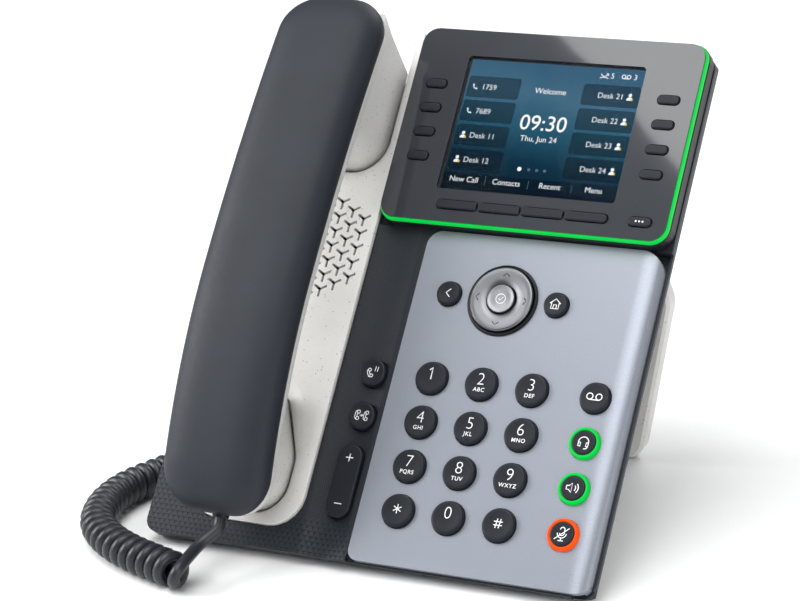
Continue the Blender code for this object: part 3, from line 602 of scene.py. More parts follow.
RING_METAL = turned_metal_look("turned_ring", (0.185, 0.19, 0.20), 0.32)
SELECT_METAL = turned_metal_look("turned_select", (0.25, 0.255, 0.27), 0.30)
GREEN = lit_look("green_light", (0.0, 0.60, 0.065), 0.92)
GREEN_RING = lit_look("green_ring", (0.0, 0.60, 0.065), 0.62, 0.45)
ORANGE_RING = lit_look("orange_ring", (1.0, 0.085, 0.004), 0.72, 0.45)
CORD = moulded("cord_vinyl", (0.018, 0.020, 0.025), 0.36, 0.12, 0.00001, 1600.0, specular=0.38)
GOLD = moulded("gold_contact", (0.80, 0.58, 0.22), 0.25, 0.05, 0.000004, metallic=1.0)
STEEL = moulded("screw_steel", (0.30, 0.30, 0.31), 0.35, 0.10, 0.00001, metallic=1.0)
BOARD = moulded("solder_mask", (0.015, 0.11, 0.05), 0.35, 0.15)
SCREEN_WHITE = lit_look("screen_white", (0.86, 0.88, 0.90), 0.9)
SCREEN_DIM = lit_look("screen_dim", (0.10, 0.14, 0.18), 0.8)
SCREEN_AMBER = lit_look("screen_amber", (0.90, 0.60, 0.03), 0.9)
SCREEN_SHADE = veil_look("screen_shade", (0.002, 0.006, 0.012), 0.6, 0.0, 60.0, 0.33, 0.38)
CLEAR = clear_look("clear_plug", (0.86, 0.88, 0.90), 0.08)


# ---------------------------------------------------------------- camera

def make_camera():
    """The photographer's place in face coordinates (mm), and the long lens."""
    camera = new_object("camera", bpy.data.cameras.new("camera"))
    place_at = Vector((441.41, -276.81, 926.26))
    right = Vector((0.8910, 0.2414, -0.3844)).normalized()
    back = Vector((0.4433, -0.2806, 0.8513))
    back = (back - right * back.dot(right)).normalized()
    up = back.cross(right)
    look_at = Matrix((right, up, back)).transposed().to_4x4()
    camera.matrix_world = FACE @ Matrix.Translation(place_at * MM) @ look_at
    camera.data.sensor_width = 36.0
    camera.data.lens = 132.42
    camera.data.clip_end = 20
    bpy.context.scene.camera = camera


make_camera()


# ---------------------------------------------------------------- cord

# The wire and the coil it is wound into, and their way over the table, in world millimetres
WIRE_D = 4.5
CORD_SIDES = 12
COIL_D = 14.0
COIL_PITCH = 4.9
COIL_HEIGHT = 7.1
COIL_ROUTE = [
    (-56.8, -93.0), (-80.2, -84.8), (-96.0, -76.0), (-107.0, -65.0), (-113.0, -51.0),
    (-114.3, -37.1), (-112.0, -26.0), (-108.0, -15.4), (-101.0, 3.0), (-88.0, 17.0),
    (-70.0, 24.5), (-52.0, 26.0), (-38.0, 23.0),
]
TAIL_ROUTE = [(-22.0, 24.5, 9.0), (-18.5, 30.5, 17.0), (-17.6, 26.0, 26.5)]

# Where the cord leaves the handset, in face millimetres, and the stretch of it over which weights are worked out,
# though nothing uses them
LEAD_U, LEAD_N = -80.5, 17.5
FREE_FROM, FREE_TO = 18.0, 620.0


def distances(points):
    """How far along its line each point lies."""
    length = [0.0]
    for a, b in zip(points, points[1:]):
        length.append(length[-1] + (b - a).length)
    return length


def evenly_along(route, count):
    """count + 1 evenly spaced points on a route, each after the number of the stretch that it lies on."""
    length = distances(route)
    marks = []
    k = 0
    for i in range(count + 1):
        want = length[-1] * i / count
        while k < len(route) - 2 and length[k + 1] < want:
            k += 1
        marks.append((k, route[k].lerp(route[k + 1], (want - length[k]) / (length[k + 1] - length[k]))))
    return marks


def smooth_route(knots, spacing):
    """Points about `spacing` apart on the smooth curve through the knots."""
    ends = [knots[0] * 2 - knots[1]] + knots + [knots[-1] * 2 - knots[-2]]
    fine = []
    for a, b, c, d in zip(ends, ends[1:], ends[2:], ends[3:]):
        for k in range(24):
            t = k / 24
            fine.append(0.5 * (2 * b + (c - a) * t + (2 * a - 5 * b + 4 * c - d) * t * t
                               + (3 * b - a - 3 * c + d) * t * t * t))
    fine.append(knots[-1])
    count = max(2, round(distances(fine)[-1] / spacing))
    return [point for k, point in evenly_along(fine, count)]


def helix_along(route, radius, pitch, per_turn=18):
    """The wire's centreline, wound round a smooth route on the table."""
    turns = round(distances(route)[-1] / pitch)
    up = Vector((0, 0, 1))
    points = []
    for i, (k, centre) in enumerate(evenly_along(route, turns * per_turn)):
        ahead = (route[min(k + 2, len(route) - 1)] - route[max(k - 1, 0)]).normalized()
        side = ahead.cross(up).normalized()
        angle = 2 * math.pi * i / per_turn + math.radians(270)
        points.append(centre + (side * math.cos(angle) + up * math.sin(angle)) * radius)
    return points


def sweep(name, points, diameter, sides):
    """A round tube along points, by frames carried along without twist."""
    bm = bmesh.new()
    rings = []
    tangent = (points[1] - points[0]).normalized()
    normal = tangent.orthogonal().normalized()
    for i, point in enumerate(points):
        ahead = (points[min(i + 1, len(points) - 1)] - points[max(i - 1, 0)]).normalized()
        normal = (normal - ahead * normal.dot(ahead)).normalized()
        across = ahead.cross(normal)
        ring = []
        for k in range(sides):
            a = 2 * math.pi * k / sides
            offset = (normal * math.cos(a) + across * math.sin(a)) * diameter / 2
            ring.append(bm.verts.new((point + offset) * MM))
        rings.append(ring)
    skin(bm, rings)
    bm.faces.new(rings[0][::-1])
    bm.faces.new(rings[-1])
    return object_from(name, bm, 60)


def build_cord():
    """The whole handset cord: lead from the handset, curly stretch, and lead to the socket."""
    knots = [Vector((x, y, COIL_HEIGHT)) for x, y in COIL_ROUTE]
    coil = smooth_route(knots, 1.0)
    wire = helix_along(coil, (COIL_D - WIRE_D) / 2, COIL_PITCH)
    leave = face_point(LEAD_U, -66.5, LEAD_N) / MM
    down = (face_point(0, -1, 0) - face_point(0, 0, 0)).normalized()
    up = Vector((0, 0, 1))
    out = (coil[0] - coil[2]).normalized()
    front = out.cross(up)
    end = coil[0]
    lead = [leave, leave + down * 5, leave.lerp(end, 0.5) - up,
            end + out * 4.6 + front * 2.0 + up * 2.5, end + out * 3.0 + front * 3.6 - up * 2.0, wire[0]]
    lead = smooth_route(lead, 1.5)[:-1]
    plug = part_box("cord_base_plug")
    socket = Vector(((plug[0].x + plug[1].x) / 2, plug[1].y, (plug[0].z + plug[1].z) / 2)) / MM
    last = wire[-1]
    turn_out = (last - wire[-2]).normalized()
    tail_knots = [last, last + turn_out * 3] + [Vector(p) for p in TAIL_ROUTE] + [socket]
    tail = smooth_route(tail_knots, 1.5)[1:]
    path = lead + wire + tail
    cord = sweep("handset_cord", path, WIRE_D, CORD_SIDES)
    paint(cord, CORD)
    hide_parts("cord_coil", "cord_handset_lead", "cord_base_lead")
    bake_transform(cord)
    weights = []
    length = distances(path)
    for along in length:
        t = max(0.0, min(1.0, (along - FREE_FROM) / (FREE_TO - FREE_FROM)))
        weights += [t * t * (3 - 2 * t)] * CORD_SIDES


build_cord()


# ---------------------------------------------------------------- handset

HAND_U = -81.8
HAND_HALF_WIDTH = 21.3
HAND_BOTTOM = -66.5
HAND_TOP = 135.0
HAND_CORNER = 15.0
ARCH_V, ARCH_HEIGHT = 22.0, 37.0
POCKET_U = -82.0


def arch(v):
    """Height of the handset's widest line above the face, along its length."""
    drop = 0.00062 if v > ARCH_V else 0.0019
    return ARCH_HEIGHT - drop * (v - ARCH_V) ** 2


def handset_ring(inset, height):
    """The handset's outline shrunk by inset and lifted by height over the arch."""
    middle = (HAND_TOP + HAND_BOTTOM) / 2
    half_long = (HAND_TOP - HAND_BOTTOM) / 2 - inset
    half_wide = HAND_HALF_WIDTH - inset
    corner = HAND_CORNER * half_wide / HAND_HALF_WIDTH
    ring = rounded_box(-half_wide, -half_long, half_wide, half_long, corner, 12)
    full = []
    for a, b in zip(ring, ring[1:] + ring[:1]):
        full.append(a)
        if abs(b[1] - a[1]) > half_long:
            full += [(a[0], a[1] + (b[1] - a[1]) * k / 30) for k in range(1, 30)]
    return [Vector((HAND_U + x, middle + y, arch(middle + y) + height)) for x, y in full]


def ring_solid(name, rings, close_first=True, close_last=True):
    """Skins a stack of equal rings and closes its ends by rungs across each end ring."""
    bm = bmesh.new()
    rows = [[bm.verts.new(p * MM) for p in ring] for ring in rings]
    skin(bm, rows)
    for row, wanted in ((rows[0], close_first), (rows[-1], close_last)):
        if not wanted:
            continue
        by_height = sorted(range(len(row)), key=lambda i: rings[0][i].y)
        left = [i for i in by_height if rings[0][i].x < HAND_U]
        right = [i for i in by_height if rings[0][i].x > HAND_U]
        for (a, b), (c, d) in zip(zip(left, left[1:]), zip(right, right[1:])):
            bm.faces.new((row[a], row[c], row[d], row[b]))
    return object_from(name, bm, 50)


def crown_rings():
    """Rings from the seam up over the crown, which is full at the shoulders and nearly flat on top."""
    rings = [handset_ring(*ring) for ring in ((1.1, -4.6), (0.5, -3.6), (0.1, -1.8), (0.0, 0.0))]
    reach, rise = 20.0, 8.2
    for inset in (0.06, 0.2, 0.45, 0.85, 1.4, 2.2, 3.2, 4.5, 6.0, 8.0, 10.5, 13.5, 17.0):
        height = rise * math.sqrt(1 - (1 - inset / reach) ** 3.7)
        rings.append(handset_ring(inset, height))
    return rings


def mouth_outline(grow):
    """The mouthpiece's pear-shaped outline about the end of the cradle."""
    wide, shoulder = 14.2 + grow, 4.7 + grow
    bottom, top = -58 - grow, -13 + grow
    corners = [(-wide, bottom, 12), (wide, bottom, 12), (wide, -36, 14)]
    corners += [(shoulder, top, 4), (-shoulder, top, 4), (-wide, -36, 14)]
    return rounded([(POCKET_U + u, v, max(r + grow, 0.4)) for u, v, r in corners], 14)


def ear_outline(grow):
    half = 18.5 + grow
    return rounded_box(POCKET_U - half, 78.5 - grow, POCKET_U + half, 140 + grow, 13 + grow, 14)


def cup(name, outline, inset, low, high, flare=0.0):
    """A cushion-edged cup: the outline drawn in at its bearing end and flared toward the grip."""
    steps = [(3.2, 0.0), (1.9, 0.25), (0.9, 0.9), (0.3, 1.9), (0.0, 3.2)]
    rings = [[(x, y, low + lift) for x, y in outline(-inset - draw)] for draw, lift in steps]
    for part, share in ((0.66, 0.0), (0.83, 0.4), (1.0, 1.0)):
        height = low + (high - low) * part
        rings.append([(x, y, height) for x, y in outline(flare * share - inset)])
    return loft(name, rings)


def build_cups():
    """Ear and mouth cups with their rows of small holes."""
    ear = cup("ear_cup", ear_outline, 0.4, -6.0, 27.5, 1.6)
    slope = side_profile("slope", [(131.6, 29), (160, 29), (160, -9), (118.9, -9)], -110, -50)
    ear = boolean(ear, slope)
    mouth = cup("mouth_cup", mouth_outline, 0.4, -6.0, 20.0)
    holes = []
    for ring, count in ((0, 1), (2.6, 6), (5.2, 12), (7.8, 18)):
        for k in range(count):
            a = 2 * math.pi * k / count
            holes.append(circle(POCKET_U + ring * math.cos(a), 100 + ring * math.sin(a), 0.7, 12))
    holes += [circle(POCKET_U + u, -38, 0.6, 12) for u in (-3.0, 0.0, 3.0)]
    cups = boolean(joined("handset_cups", [ear, mouth]), plate("cup_holes", holes, -8, -3))
    smoothed(cups.data, 40)
    place(rounded_edges(cups, 0.8, 3, 30), "handset", LIGHT, "light_plastic", FACE)


def build_handset():
    shell = ring_solid("handset_back", crown_rings(), close_first=False)
    wall = shell.modifiers.new("wall", "SOLIDIFY")
    wall.thickness = 1.6 * MM
    wall.offset = -1
    place(shell, "handset", CHARCOAL, "charcoal", FACE, ("handset_outer_shell",))
    inner = ((9.0, -13.5), (6.0, -13.2), (3.6, -11.8), (2.2, -9.4), (1.7, -7.0), (1.5, -4.8))
    body = ring_solid("handset_grip", [handset_ring(*ring) for ring in inner])
    place(body, "handset", LIGHT, "light_plastic", FACE, ("handset_inner_shell",))
    build_cups()
    profile = [(2.4, 1.0), (2.9, 0.7), (3.1, 0.0), (3.1, -5.0), (2.4, -5.0), (2.4, 1.0)]
    sleeve = turned("cord_sleeve", profile, 24)
    along = face_point(0, -1, 0) - face_point(0, 0, 0)
    aim = along.to_track_quat("Z", "Y").to_matrix().to_4x4()
    mouth = Matrix.Translation(face_point(LEAD_U, -66.2, LEAD_N))
    place(sleeve, "handset", DARK_EDGE, "black_part", mouth @ aim)
    paint(NODES["receiver_capsule"], RUBBER)


build_handset()


# ---------------------------------------------------------------- key legends

PEN = 0.35


def handset_icon(u, v, size=1.0, turn=0.0):
    """A small telephone handset: two rings joined by a bowed bar."""
    spin = Matrix.Rotation(math.radians(turn), 2)
    lines = [closing_circle(0.45, end, 0.72, 14) for end in (1.45, -1.45)]
    lines.append([(-0.1, 1.95), (-0.85, 1.5), (-1.0, 0.0), (-0.85, -1.5), (-0.1, -1.95)])
    lines.append([(0.1, 0.85), (0.0, 0.0), (0.1, -0.85)])
    return [[tuple(Vector((u, v)) + spin @ (Vector(p) * size)) for p in line] for line in lines]


def drawn(lines, width=PEN):
    return [stroke(line, width) for line in lines]


def legend_messages():
    rings = [closing_circle(u, 0.25, 1.15, 20) for u in (-1.75, 1.75)]
    return drawn(rings + [[(-1.75, -0.95), (1.75, -0.95)]])


def legend_headset():
    lines = [arc(0, 0.1, 1.9, -5, 185, 20)]
    for side in (-1, 1):
        outer, inner = side * 1.9, side * 1.1
        lines.append([(outer, 0.1), (outer, -1.4), (inner, -1.5), (inner, -0.1), (outer, 0)])
    return drawn(lines + [[(1.9, -1.4), (1.5, -2.2), (0.4, -2.4)]])


def legend_speaker():
    lines = [[(-2.4, 0.7), (-1.5, 0.7), (-0.4, 1.7), (-0.4, -1.7), (-1.5, -0.7), (-2.4, -0.7), (-2.4, 0.7)]]
    return drawn(lines + [arc(-0.2, 0, 1.3, -45, 45, 8), arc(-0.2, 0, 2.3, -45, 45, 10)])


def legend_mute():
    lines = [rounded_box(-0.85, -0.6, 0.85, 2.4, 0.84, 5) + [(-0.85, 1.5)], arc(0, 0.2, 1.7, 180, 360, 16)]
    return drawn(lines + [[(0, -1.5), (0, -2.5)], [(-1.0, -2.5), (1.0, -2.5)], [(-2.5, -2.2), (2.5, 2.3)]])


def legend_hold():
    pause = [[(1.2, 2.3), (1.0, 0.4)], [(2.2, 2.2), (2.0, 0.3)]]
    return drawn(handset_icon(-0.9, -0.5, 0.82, 28) + pause, 0.28)


def legend_transfer():
    lines = handset_icon(-1.75, 0.0, 0.85) + handset_icon(1.75, 0.0, 0.85)
    return drawn(lines + [[(-0.7, 0.0), (0.45, 0.0)], [(0.0, 0.5), (0.5, 0.0), (0.0, -0.5)]], 0.27)


def legend_back():
    return drawn([[(0.9, 1.6), (-0.8, 0.0), (0.9, -1.6)]])


def legend_home():
    roof = [(-2.1, 0.2), (0.0, 2.0), (2.1, 0.2)]
    walls = [(-1.45, 0.5), (-1.45, -1.8), (1.45, -1.8), (1.45, 0.5)]
    return drawn([roof, walls, [(-0.6, -1.8), (-0.6, -0.3), (0.6, -0.3), (0.6, -1.8)]], 0.32)


LETTERS = {"2": "ABC", "3": "DEF", "4": "GHI", "5": "JKL", "6": "MNO", "7": "PQRS", "8": "TUV", "9": "WXYZ"}


def legend_dial(mark):
    if mark == "star":
        turns = [math.radians(a) for a in (90, 210, 330)]
        tips = [(1.75 * math.cos(a), 1.75 * math.sin(a)) for a in turns]
        return drawn([[(u, v + 0.5), (-u, 0.5 - v)] for u, v in tips])
    if mark == "hash":
        lines = [[(-1.7, 1.1), (1.7, 1.1)], [(-1.7, -0.2), (1.7, -0.2)]]
        return drawn(lines + [[(-0.45, 2.2), (-0.85, -1.3)], [(0.85, 2.2), (0.45, -1.3)]])
    if mark == "1":
        return drawn([[(-1.0, 2.8), (0.1, 3.7), (0.1, -0.7)]], 0.46)
    digit = words(mark, 6.5, 0, 1.45, weight=-0.12)
    if mark not in LETTERS:
        return [digit]
    return [digit, words(LETTERS[mark], 2.15, 0, -2.45, weight=0.02, spacing=1.14)]


# ---------------------------------------------------------------- keys

def key_profile(radius, top, bottom=-4.0):
    """A round key: a very shallow dish, a soft shoulder and a straight skirt."""
    dish = [(0, 0.22), (0.35, 0.19), (0.62, 0.10), (0.80, 0.01)]
    shoulder = [(0.75, 0), (0.42, 0.08), (0.16, 0.30), (0.03, 0.62), (0, 1.0)]
    profile = [(radius * part, top - drop) for part, drop in dish]
    profile += [(radius - inset, top - drop) for inset, drop in shoulder]
    return profile + [(radius, bottom), (0, bottom)]


def dish_height(profile, radius):
    """The key's surface height at a radius, read off its profile."""
    for (r0, h0), (r1, h1) in zip(profile, profile[1:]):
        if r0 <= radius <= r1:
            return h0 + (h1 - h0) * (radius - r0) / max(r1 - r0, 1e-9)
    return profile[0][1]


def print_legend(name, parts, body, matrix, profile=None, top=0.0, ink=INK):
    """Lays lettering on a key, following its dish."""
    obj = joined(name, parts, 60)
    lift = 0.012
    for vertex in obj.data.vertices:
        surface = top
        if profile:
            surface = dish_height(profile, math.hypot(vertex.co.x, vertex.co.y) / MM)
        vertex.co.z = (surface + lift) * MM + vertex.co.z
    return place(obj, body, ink, matrix=matrix)


def rest_of(node, down=0.0, n=0.0):
    """The place on the face over a node's middle, or down from it."""
    middle = centre_of(node)[0]
    return on_face(middle.x, middle.y - down, n)


def round_key(node, legend, radius, top=1.9, ring=None):
    """A round key with its legend, and a lit ring round a smaller cap where ring is given."""
    rest = rest_of(node)
    profile = key_profile(radius, top)
    if ring is not None:
        dish = [(0, 0.16), (2.5, 0.12), (4.0, 0.02), (4.3, 0.06), (4.5, 0.25), (4.55, 0.7)]
        profile = [(r, top - drop) for r, drop in dish] + [(4.55, -4.0), (0, -4.0)]
        outline = [(4.65, 1.35), (4.8, 1.62), (5.1, 1.72), (5.5, 1.6), (5.8, 1.25), (5.9, 0.7), (5.8, -3.8)]
        glow = turned(f"{node}_ring", outline + [(4.65, -3.8), (4.65, 1.35)])
        place(glow, node, ring, "light", rest)
    cap = turned(f"{node}_cap", profile)
    place(cap, node, KEY, "key_black", rest, (node,))
    print_legend(f"{node}_legend", legend, node, rest, profile)


def build_round_keys():
    for mark in ("1", "2", "3", "4", "5", "6", "7", "8", "9", "star", "0", "hash"):
        round_key(f"dial_key_{mark}", legend_dial(mark), 6.25)
        if mark == "5":
            guide = box("dial_key_5_guide", (-1.1, -0.28, -0.2), (1.1, 0.28, 0.3), 0.24)
            place(guide, "dial_key_5", KEY, "key_black", rest_of("dial_key_5", 4.6, 1.85))
    round_key("messages_key", legend_messages(), 5.75)
    round_key("headset_key", legend_headset(), 5.75, ring=GREEN_RING)
    round_key("speaker_key", legend_speaker(), 5.75, ring=GREEN_RING)
    round_key("mute_key", legend_mute(), 5.75, ring=ORANGE_RING)
    round_key("back_key", legend_back(), 4.7)
    round_key("home_key", legend_home(), 4.7)
    round_key("hold_key", legend_hold(), 5.3, 1.4)
    round_key("transfer_key", legend_transfer(), 5.3, 1.4)


def pill_outline(half_u, half_v, left_round, right_round):
    """A bar with a round or a nearly square end at either side."""
    full, slight = half_v * 0.96, 0.5
    left = full if left_round else slight
    right = full if right_round else slight
    below = [(-half_u, -half_v, left), (half_u, -half_v, right)]
    return rounded(below + [(half_u, half_v, right), (-half_u, half_v, left)], 10)


def build_pill_keys():
    """The keys round the display. The four soft keys share one long bar, so only its ends are round."""
    names = [f"line_key_{side}_{k}" for side in ("left", "right") for k in range(1, 5)] + ["more_key"]
    ends = {name: (True, True) for name in names}
    for k in range(1, 5):
        ends[f"soft_key_{k}"] = (k == 1, k == 4)
    for name, (left_round, right_round) in ends.items():
        low, high = centre_of(name)[1:]
        outline = pill_outline((high.x - low.x) / 2, (high.y - low.y) / 2, left_round, right_round)
        cap = flat_shaded_faces(plate(f"{name}_cap", [outline], low.z, high.z, 0.5, 4), 60)
        place(cap, name, KEY, "key_black", rest_of(name), (name,))
    dots = [plate("dot", [circle(u, 0, 0.36, 16)], 0, 0.02) for u in (-1.3, 0, 1.3)]
    print_legend("more_key_legend", dots, "more_key", rest_of("more_key"), top=centre_of("more_key")[2].z)


def build_volume_rocker():
    """A long rocker with rounded ends, marked plus toward its top and minus toward its bottom."""
    low, high = centre_of("volume_rocker")[1:]
    half_u, half_v = (high.x - low.x) / 2, (high.y - low.y) / 2
    outline = rounded_box(-half_u, -half_v, half_u, half_v, half_u * 0.97, 12)
    cap = flat_shaded_faces(plate("volume_rocker_cap", [outline], low.z, high.z, 0.7, 4), 60)
    place(cap, "volume", KEY, "key_black", rest_of("volume_rocker"), ("volume_rocker",))
    bar, post = [(-1.5, 0), (1.5, 0)], [(0, -1.5), (0, 1.5)]
    from_end = 5.2
    from_middle = half_v - from_end
    for name, lines, down in (("plus", [bar, post], -from_middle), ("minus", [bar], from_middle)):
        print_legend(f"volume_{name}", drawn(lines), "volume", rest_of("volume_rocker", down), top=high.z)


def build_navigation():
    ring = turned("nav_ring_turned", [
        (5.72, 0.9), (5.78, 1.45), (6.05, 1.68), (8.2, 1.95), (10.2, 2.2), (11.6, 2.32),
        (12.1, 2.2), (12.35, 1.9), (12.4, 1.4), (12.4, -2.5), (5.72, -2.5), (5.72, 0.9),
    ], 96)
    rest = on_face(0, NAV_V)
    place(ring, "navigation", RING_METAL, "metal", rest, ("nav_ring",))
    select = turned("select_key_turned", [
        (0, 2.30), (3.6, 2.36), (4.6, 2.46), (4.95, 2.56), (5.15, 2.55), (5.3, 2.4), (5.38, 2.1),
        (5.38, -2.5), (0, -2.5),
    ], 64)
    place(select, "select", SELECT_METAL, "metal", rest, ("select_key",))
    trim = turned("nav_trim", [
        (12.55, 0.5), (12.8, 0.95), (13.2, 1.05), (13.6, 0.85), (13.72, 0.3), (13.72, -2.0),
        (12.55, -2.0), (12.55, 0.5),
    ], 96)
    place(trim, "base", DARK_EDGE, "gloss_dark", rest)
    marks = []
    for k in range(4):
        mark = stroke([(-1.25, 8.9), (0, 10.1), (1.25, 8.9)], 0.4, thick=0.3)
        mark.data.transform(Matrix.Rotation(math.radians(90 * k), 4, "Z"))
        marks.append(mark)
    # Painted shade: the chevrons are engraved into the ring, and dark ink stands for the shade in their grooves.
    print_legend("nav_chevron_groove_shade", marks, "navigation", rest, top=2.12, ink=DARK_EDGE)
    tick = [stroke(circle(0, 0, 1.85, 32), 0.3, closed=True)]
    tick.append(stroke([(-0.8, 0.1), (-0.2, -0.65), (0.9, 0.75)], 0.3))
    print_legend("select_tick", tick, "select", rest, top=2.33)


build_round_keys()
build_pill_keys()
build_volume_rocker()
build_navigation()


# ---------------------------------------------------------------- housing and display

GRILLE = (-79.5, 46.9)
GRILLE_PITCH = (5.2, 5.9)
TUB_FLOOR = -9.5


def star_slot(u, v, arm=3.05, half=0.48):
    """A three-armed slot's outline."""
    centre = Vector((u, v))
    outline = []
    for k in range(3):
        angle = math.radians(30 + 120 * k)
        tip = Vector((math.cos(angle), math.sin(angle)))
        side = Vector((-tip.y, tip.x)) * half
        crotch = Vector((math.cos(angle + math.pi / 3), math.sin(angle + math.pi / 3))) * half * 1.16
        outline += [tuple(centre + p) for p in (tip * arm - side, tip * arm + side, crotch)]
    return outline


def basin(name, outline, rim):
    """A cutter for a pocket whose rim rolls softly into the surface, rim mm wide at the top."""
    wall = ((0.0, -7.5), (0.0, -4.5), (0.04, -3.2), (0.12, -2.1), (0.25, -1.1), (0.42, -0.3))
    lip = ((0.62, 0.3), (0.82, 0.72), (1.0, 0.96), (1.25, 1.4))
    return loft(name, [[(x, y, n) for x, y in outline(rim * part)] for part, n in wall + lip])


def build_cradle():
    """The off-white handset rest with its soft-edged ear and mouth pockets and the loudspeaker grille."""
    low, high = centre_of("handset_cradle")[1:]
    notch = 118.5
    outer = rounded([
        (low.x, low.y, 13), (high.x, low.y, 13), (high.x, high.y, 1.5), (-63.5, high.y, 1.5),
        (-63.5, notch, 0), (-100.5, notch, 0), (-100.5, high.y, 1.5), (low.x, high.y, 1.5),
    ], 12)
    cradle = plate("cradle", [outer], -2.0, high.z, 0.35, 3)
    tub = plate("ear_tub", [ear_outline(2.6)], TUB_FLOOR, 0.5)
    over_edge = box("over_edge", (-120, notch, -12), (-40, 160, 4))
    cradle = boolean(cradle, boolean(tub, over_edge), "UNION")
    cradle = boolean(cradle, plate("mouth_tub", [mouth_outline(2.5)], TUB_FLOOR, 0.5), "UNION")
    cradle = boolean(cradle, basin("ear_pocket", ear_outline, 4.0))
    cradle = boolean(cradle, basin("mouth_pocket", mouth_outline, 5.0))
    hook = plate("hook_hole", [rounded_box(-85, 94, -79, 104, 0.5, 2)], -12, 4)
    cradle = boolean(cradle, hook)
    slots = []
    for column in range(-3, 4):
        rows = 8 - abs(column)
        for row in range(rows):
            slots.append(star_slot(GRILLE[0] + GRILLE_PITCH[0] * column,
                                   GRILLE[1] + GRILLE_PITCH[1] * (row - (rows - 1) / 2)))
    cradle = boolean(cradle, plate("grille_slots", slots, -4, 3))
    smoothed(cradle.data, 32)
    place(cradle, "base", LIGHT, "light_plastic", FACE, ("handset_cradle",))


SCREEN_LEFT, SCREEN_RIGHT = -33.9, 36.3
SCREEN_BOTTOM, SCREEN_TOP = 72.5, 125.1
WINDOW = (-35.05, 71.85, 36.65, 125.95)
SCREEN_N = 5.05
BEZEL_TOP = 6.0

# Heights of the picture's layers over its backdrop
SHADE_LIFT, PAGE_DOT_LIFT, TEXT_LIFT, PRESENCE_LIFT = 0.08, 0.12, 0.2, 0.26

# Sizes of the picture's lettering and icon lines, and the rows of line boxes
LABEL_SIZE, HEADING_SIZE, COUNT_SIZE, ICON_PEN = 3.1, 3.2, 3.0, 0.34
FIRST_ROW_V, ROW_PITCH, BOX_HALF_HEIGHT = 114.05, 9.87, 4.3


def build_panel():
    """The silver keypad panel, its right side rolled over in a wide curve."""
    low, high = centre_of("keypad_panel")[1:]
    roll_u, roll_n, thick = 9.0, 4.2, 2.4
    outer, inner = [
        [(high.x - roll_u + (roll_u - inset) * math.cos(a), -roll_n + (roll_n - inset) * math.sin(a))
         for a in (math.radians(90 - 3.75 * k) for k in range(25))]
        for inset in (0, thick)]
    skirt = [(high.x, low.z), (high.x - thick, low.z)]
    profile = [(low.x, -thick), (low.x, 0)] + outer + skirt + inner[::-1]
    panel = loft("panel", [[(u, v, n) for u, n in profile] for v in (low.y, high.y)])
    outline = rounded([(low.x, low.y, 4), (high.x, low.y, 6), (high.x, high.y, 9), (low.x, high.y, 6)], 14)
    panel = boolean(panel, plate("panel_outline", [outline], low.z - 2, 2), "INTERSECT")
    holes = [circle(0, NAV_V, 13.8, 72)]
    for node in [n for n in NODES if n.endswith("_key") or n.startswith("dial_key")]:
        key, key_low, key_high = centre_of(node)
        if low.x < key.x < high.x and key.y < high.y and node != "select_key":
            holes.append(circle(key.x, key.y, (key_high.x - key_low.x) / 2 + 0.3, 48))
    panel = boolean(panel, plate("key_holes", holes, -8, 3))
    smoothed(panel.data, 30)
    flat_shaded_faces(rounded_edges(panel, 0.25, 3), 70)
    place(panel, "base", SILVER, "silver", FACE, ("keypad_panel",))


def build_housing():
    refined("front_housing", HOUSING, "charcoal", 0.5)
    refined("rear_housing", REAR, "charcoal", 0.5)
    refined("display_frame", DARK_EDGE, "charcoal", 0.5, 3)
    refined("display_bezel", BEZEL, "gloss_dark", 0.35, 3, weight=100)
    refined("desk_stand", LIGHT, "light_plastic", 0.6, 3)
    refined("jack_block", REAR, "black_part", 0.5)
    refined("hookswitch_plunger", LIGHT, "light_plastic", 0.3)
    for node in ("base_foot", "stand_foot", "loudspeaker", "key_mat"):
        paint(NODES[node], RUBBER)
    paint(NODES["main_board"], BOARD)
    paint(NODES["cord_base_plug"], CLEAR)


def flat(name, outline, look, lift, thick=0.06):
    """A thin printed or lit shape in the display, lift over the backdrop."""
    n = SCREEN_N + lift
    return place(plate(name, [outline], n, n + thick), "base", look, matrix=FACE)


def screen_words(text, size, u, v, ink, align="CENTER", weight=0.0):
    obj = words(text, size, u, v, align, weight)
    obj.name = "screen_words"
    return place(obj, "base", ink, matrix=on_face(0, 0, SCREEN_N + TEXT_LIFT))


def screen_strokes(name, lines, width, ink, u, v):
    obj = joined(name, [stroke(line, width) for line in lines], 60)
    return place(obj, "base", ink, matrix=on_face(u, v, SCREEN_N + TEXT_LIFT))


def person_icon(name, u, v):
    """Head and shoulders with a small presence dot."""
    head = plate("head", [circle(0, 0.75, 0.68, 20)], 0, 0.04)
    shoulders = [(-1.2, -1.3), (1.2, -1.3)] + arc(0, -1.2, 1.2, 0, 180, 12)
    body = plate("shoulders", [shoulders], 0, 0.04)
    place(joined(name, [head, body]), "base", SCREEN_WHITE, matrix=on_face(u, v, SCREEN_N + TEXT_LIFT))
    dot = plate(f"{name}_dot", [rounded_box(0.5, -1.35, 1.35, -0.5, 0.3, 4)], 0, 0.04)
    place(dot, "base", SCREEN_AMBER, matrix=on_face(u, v, SCREEN_N + PRESENCE_LIFT))


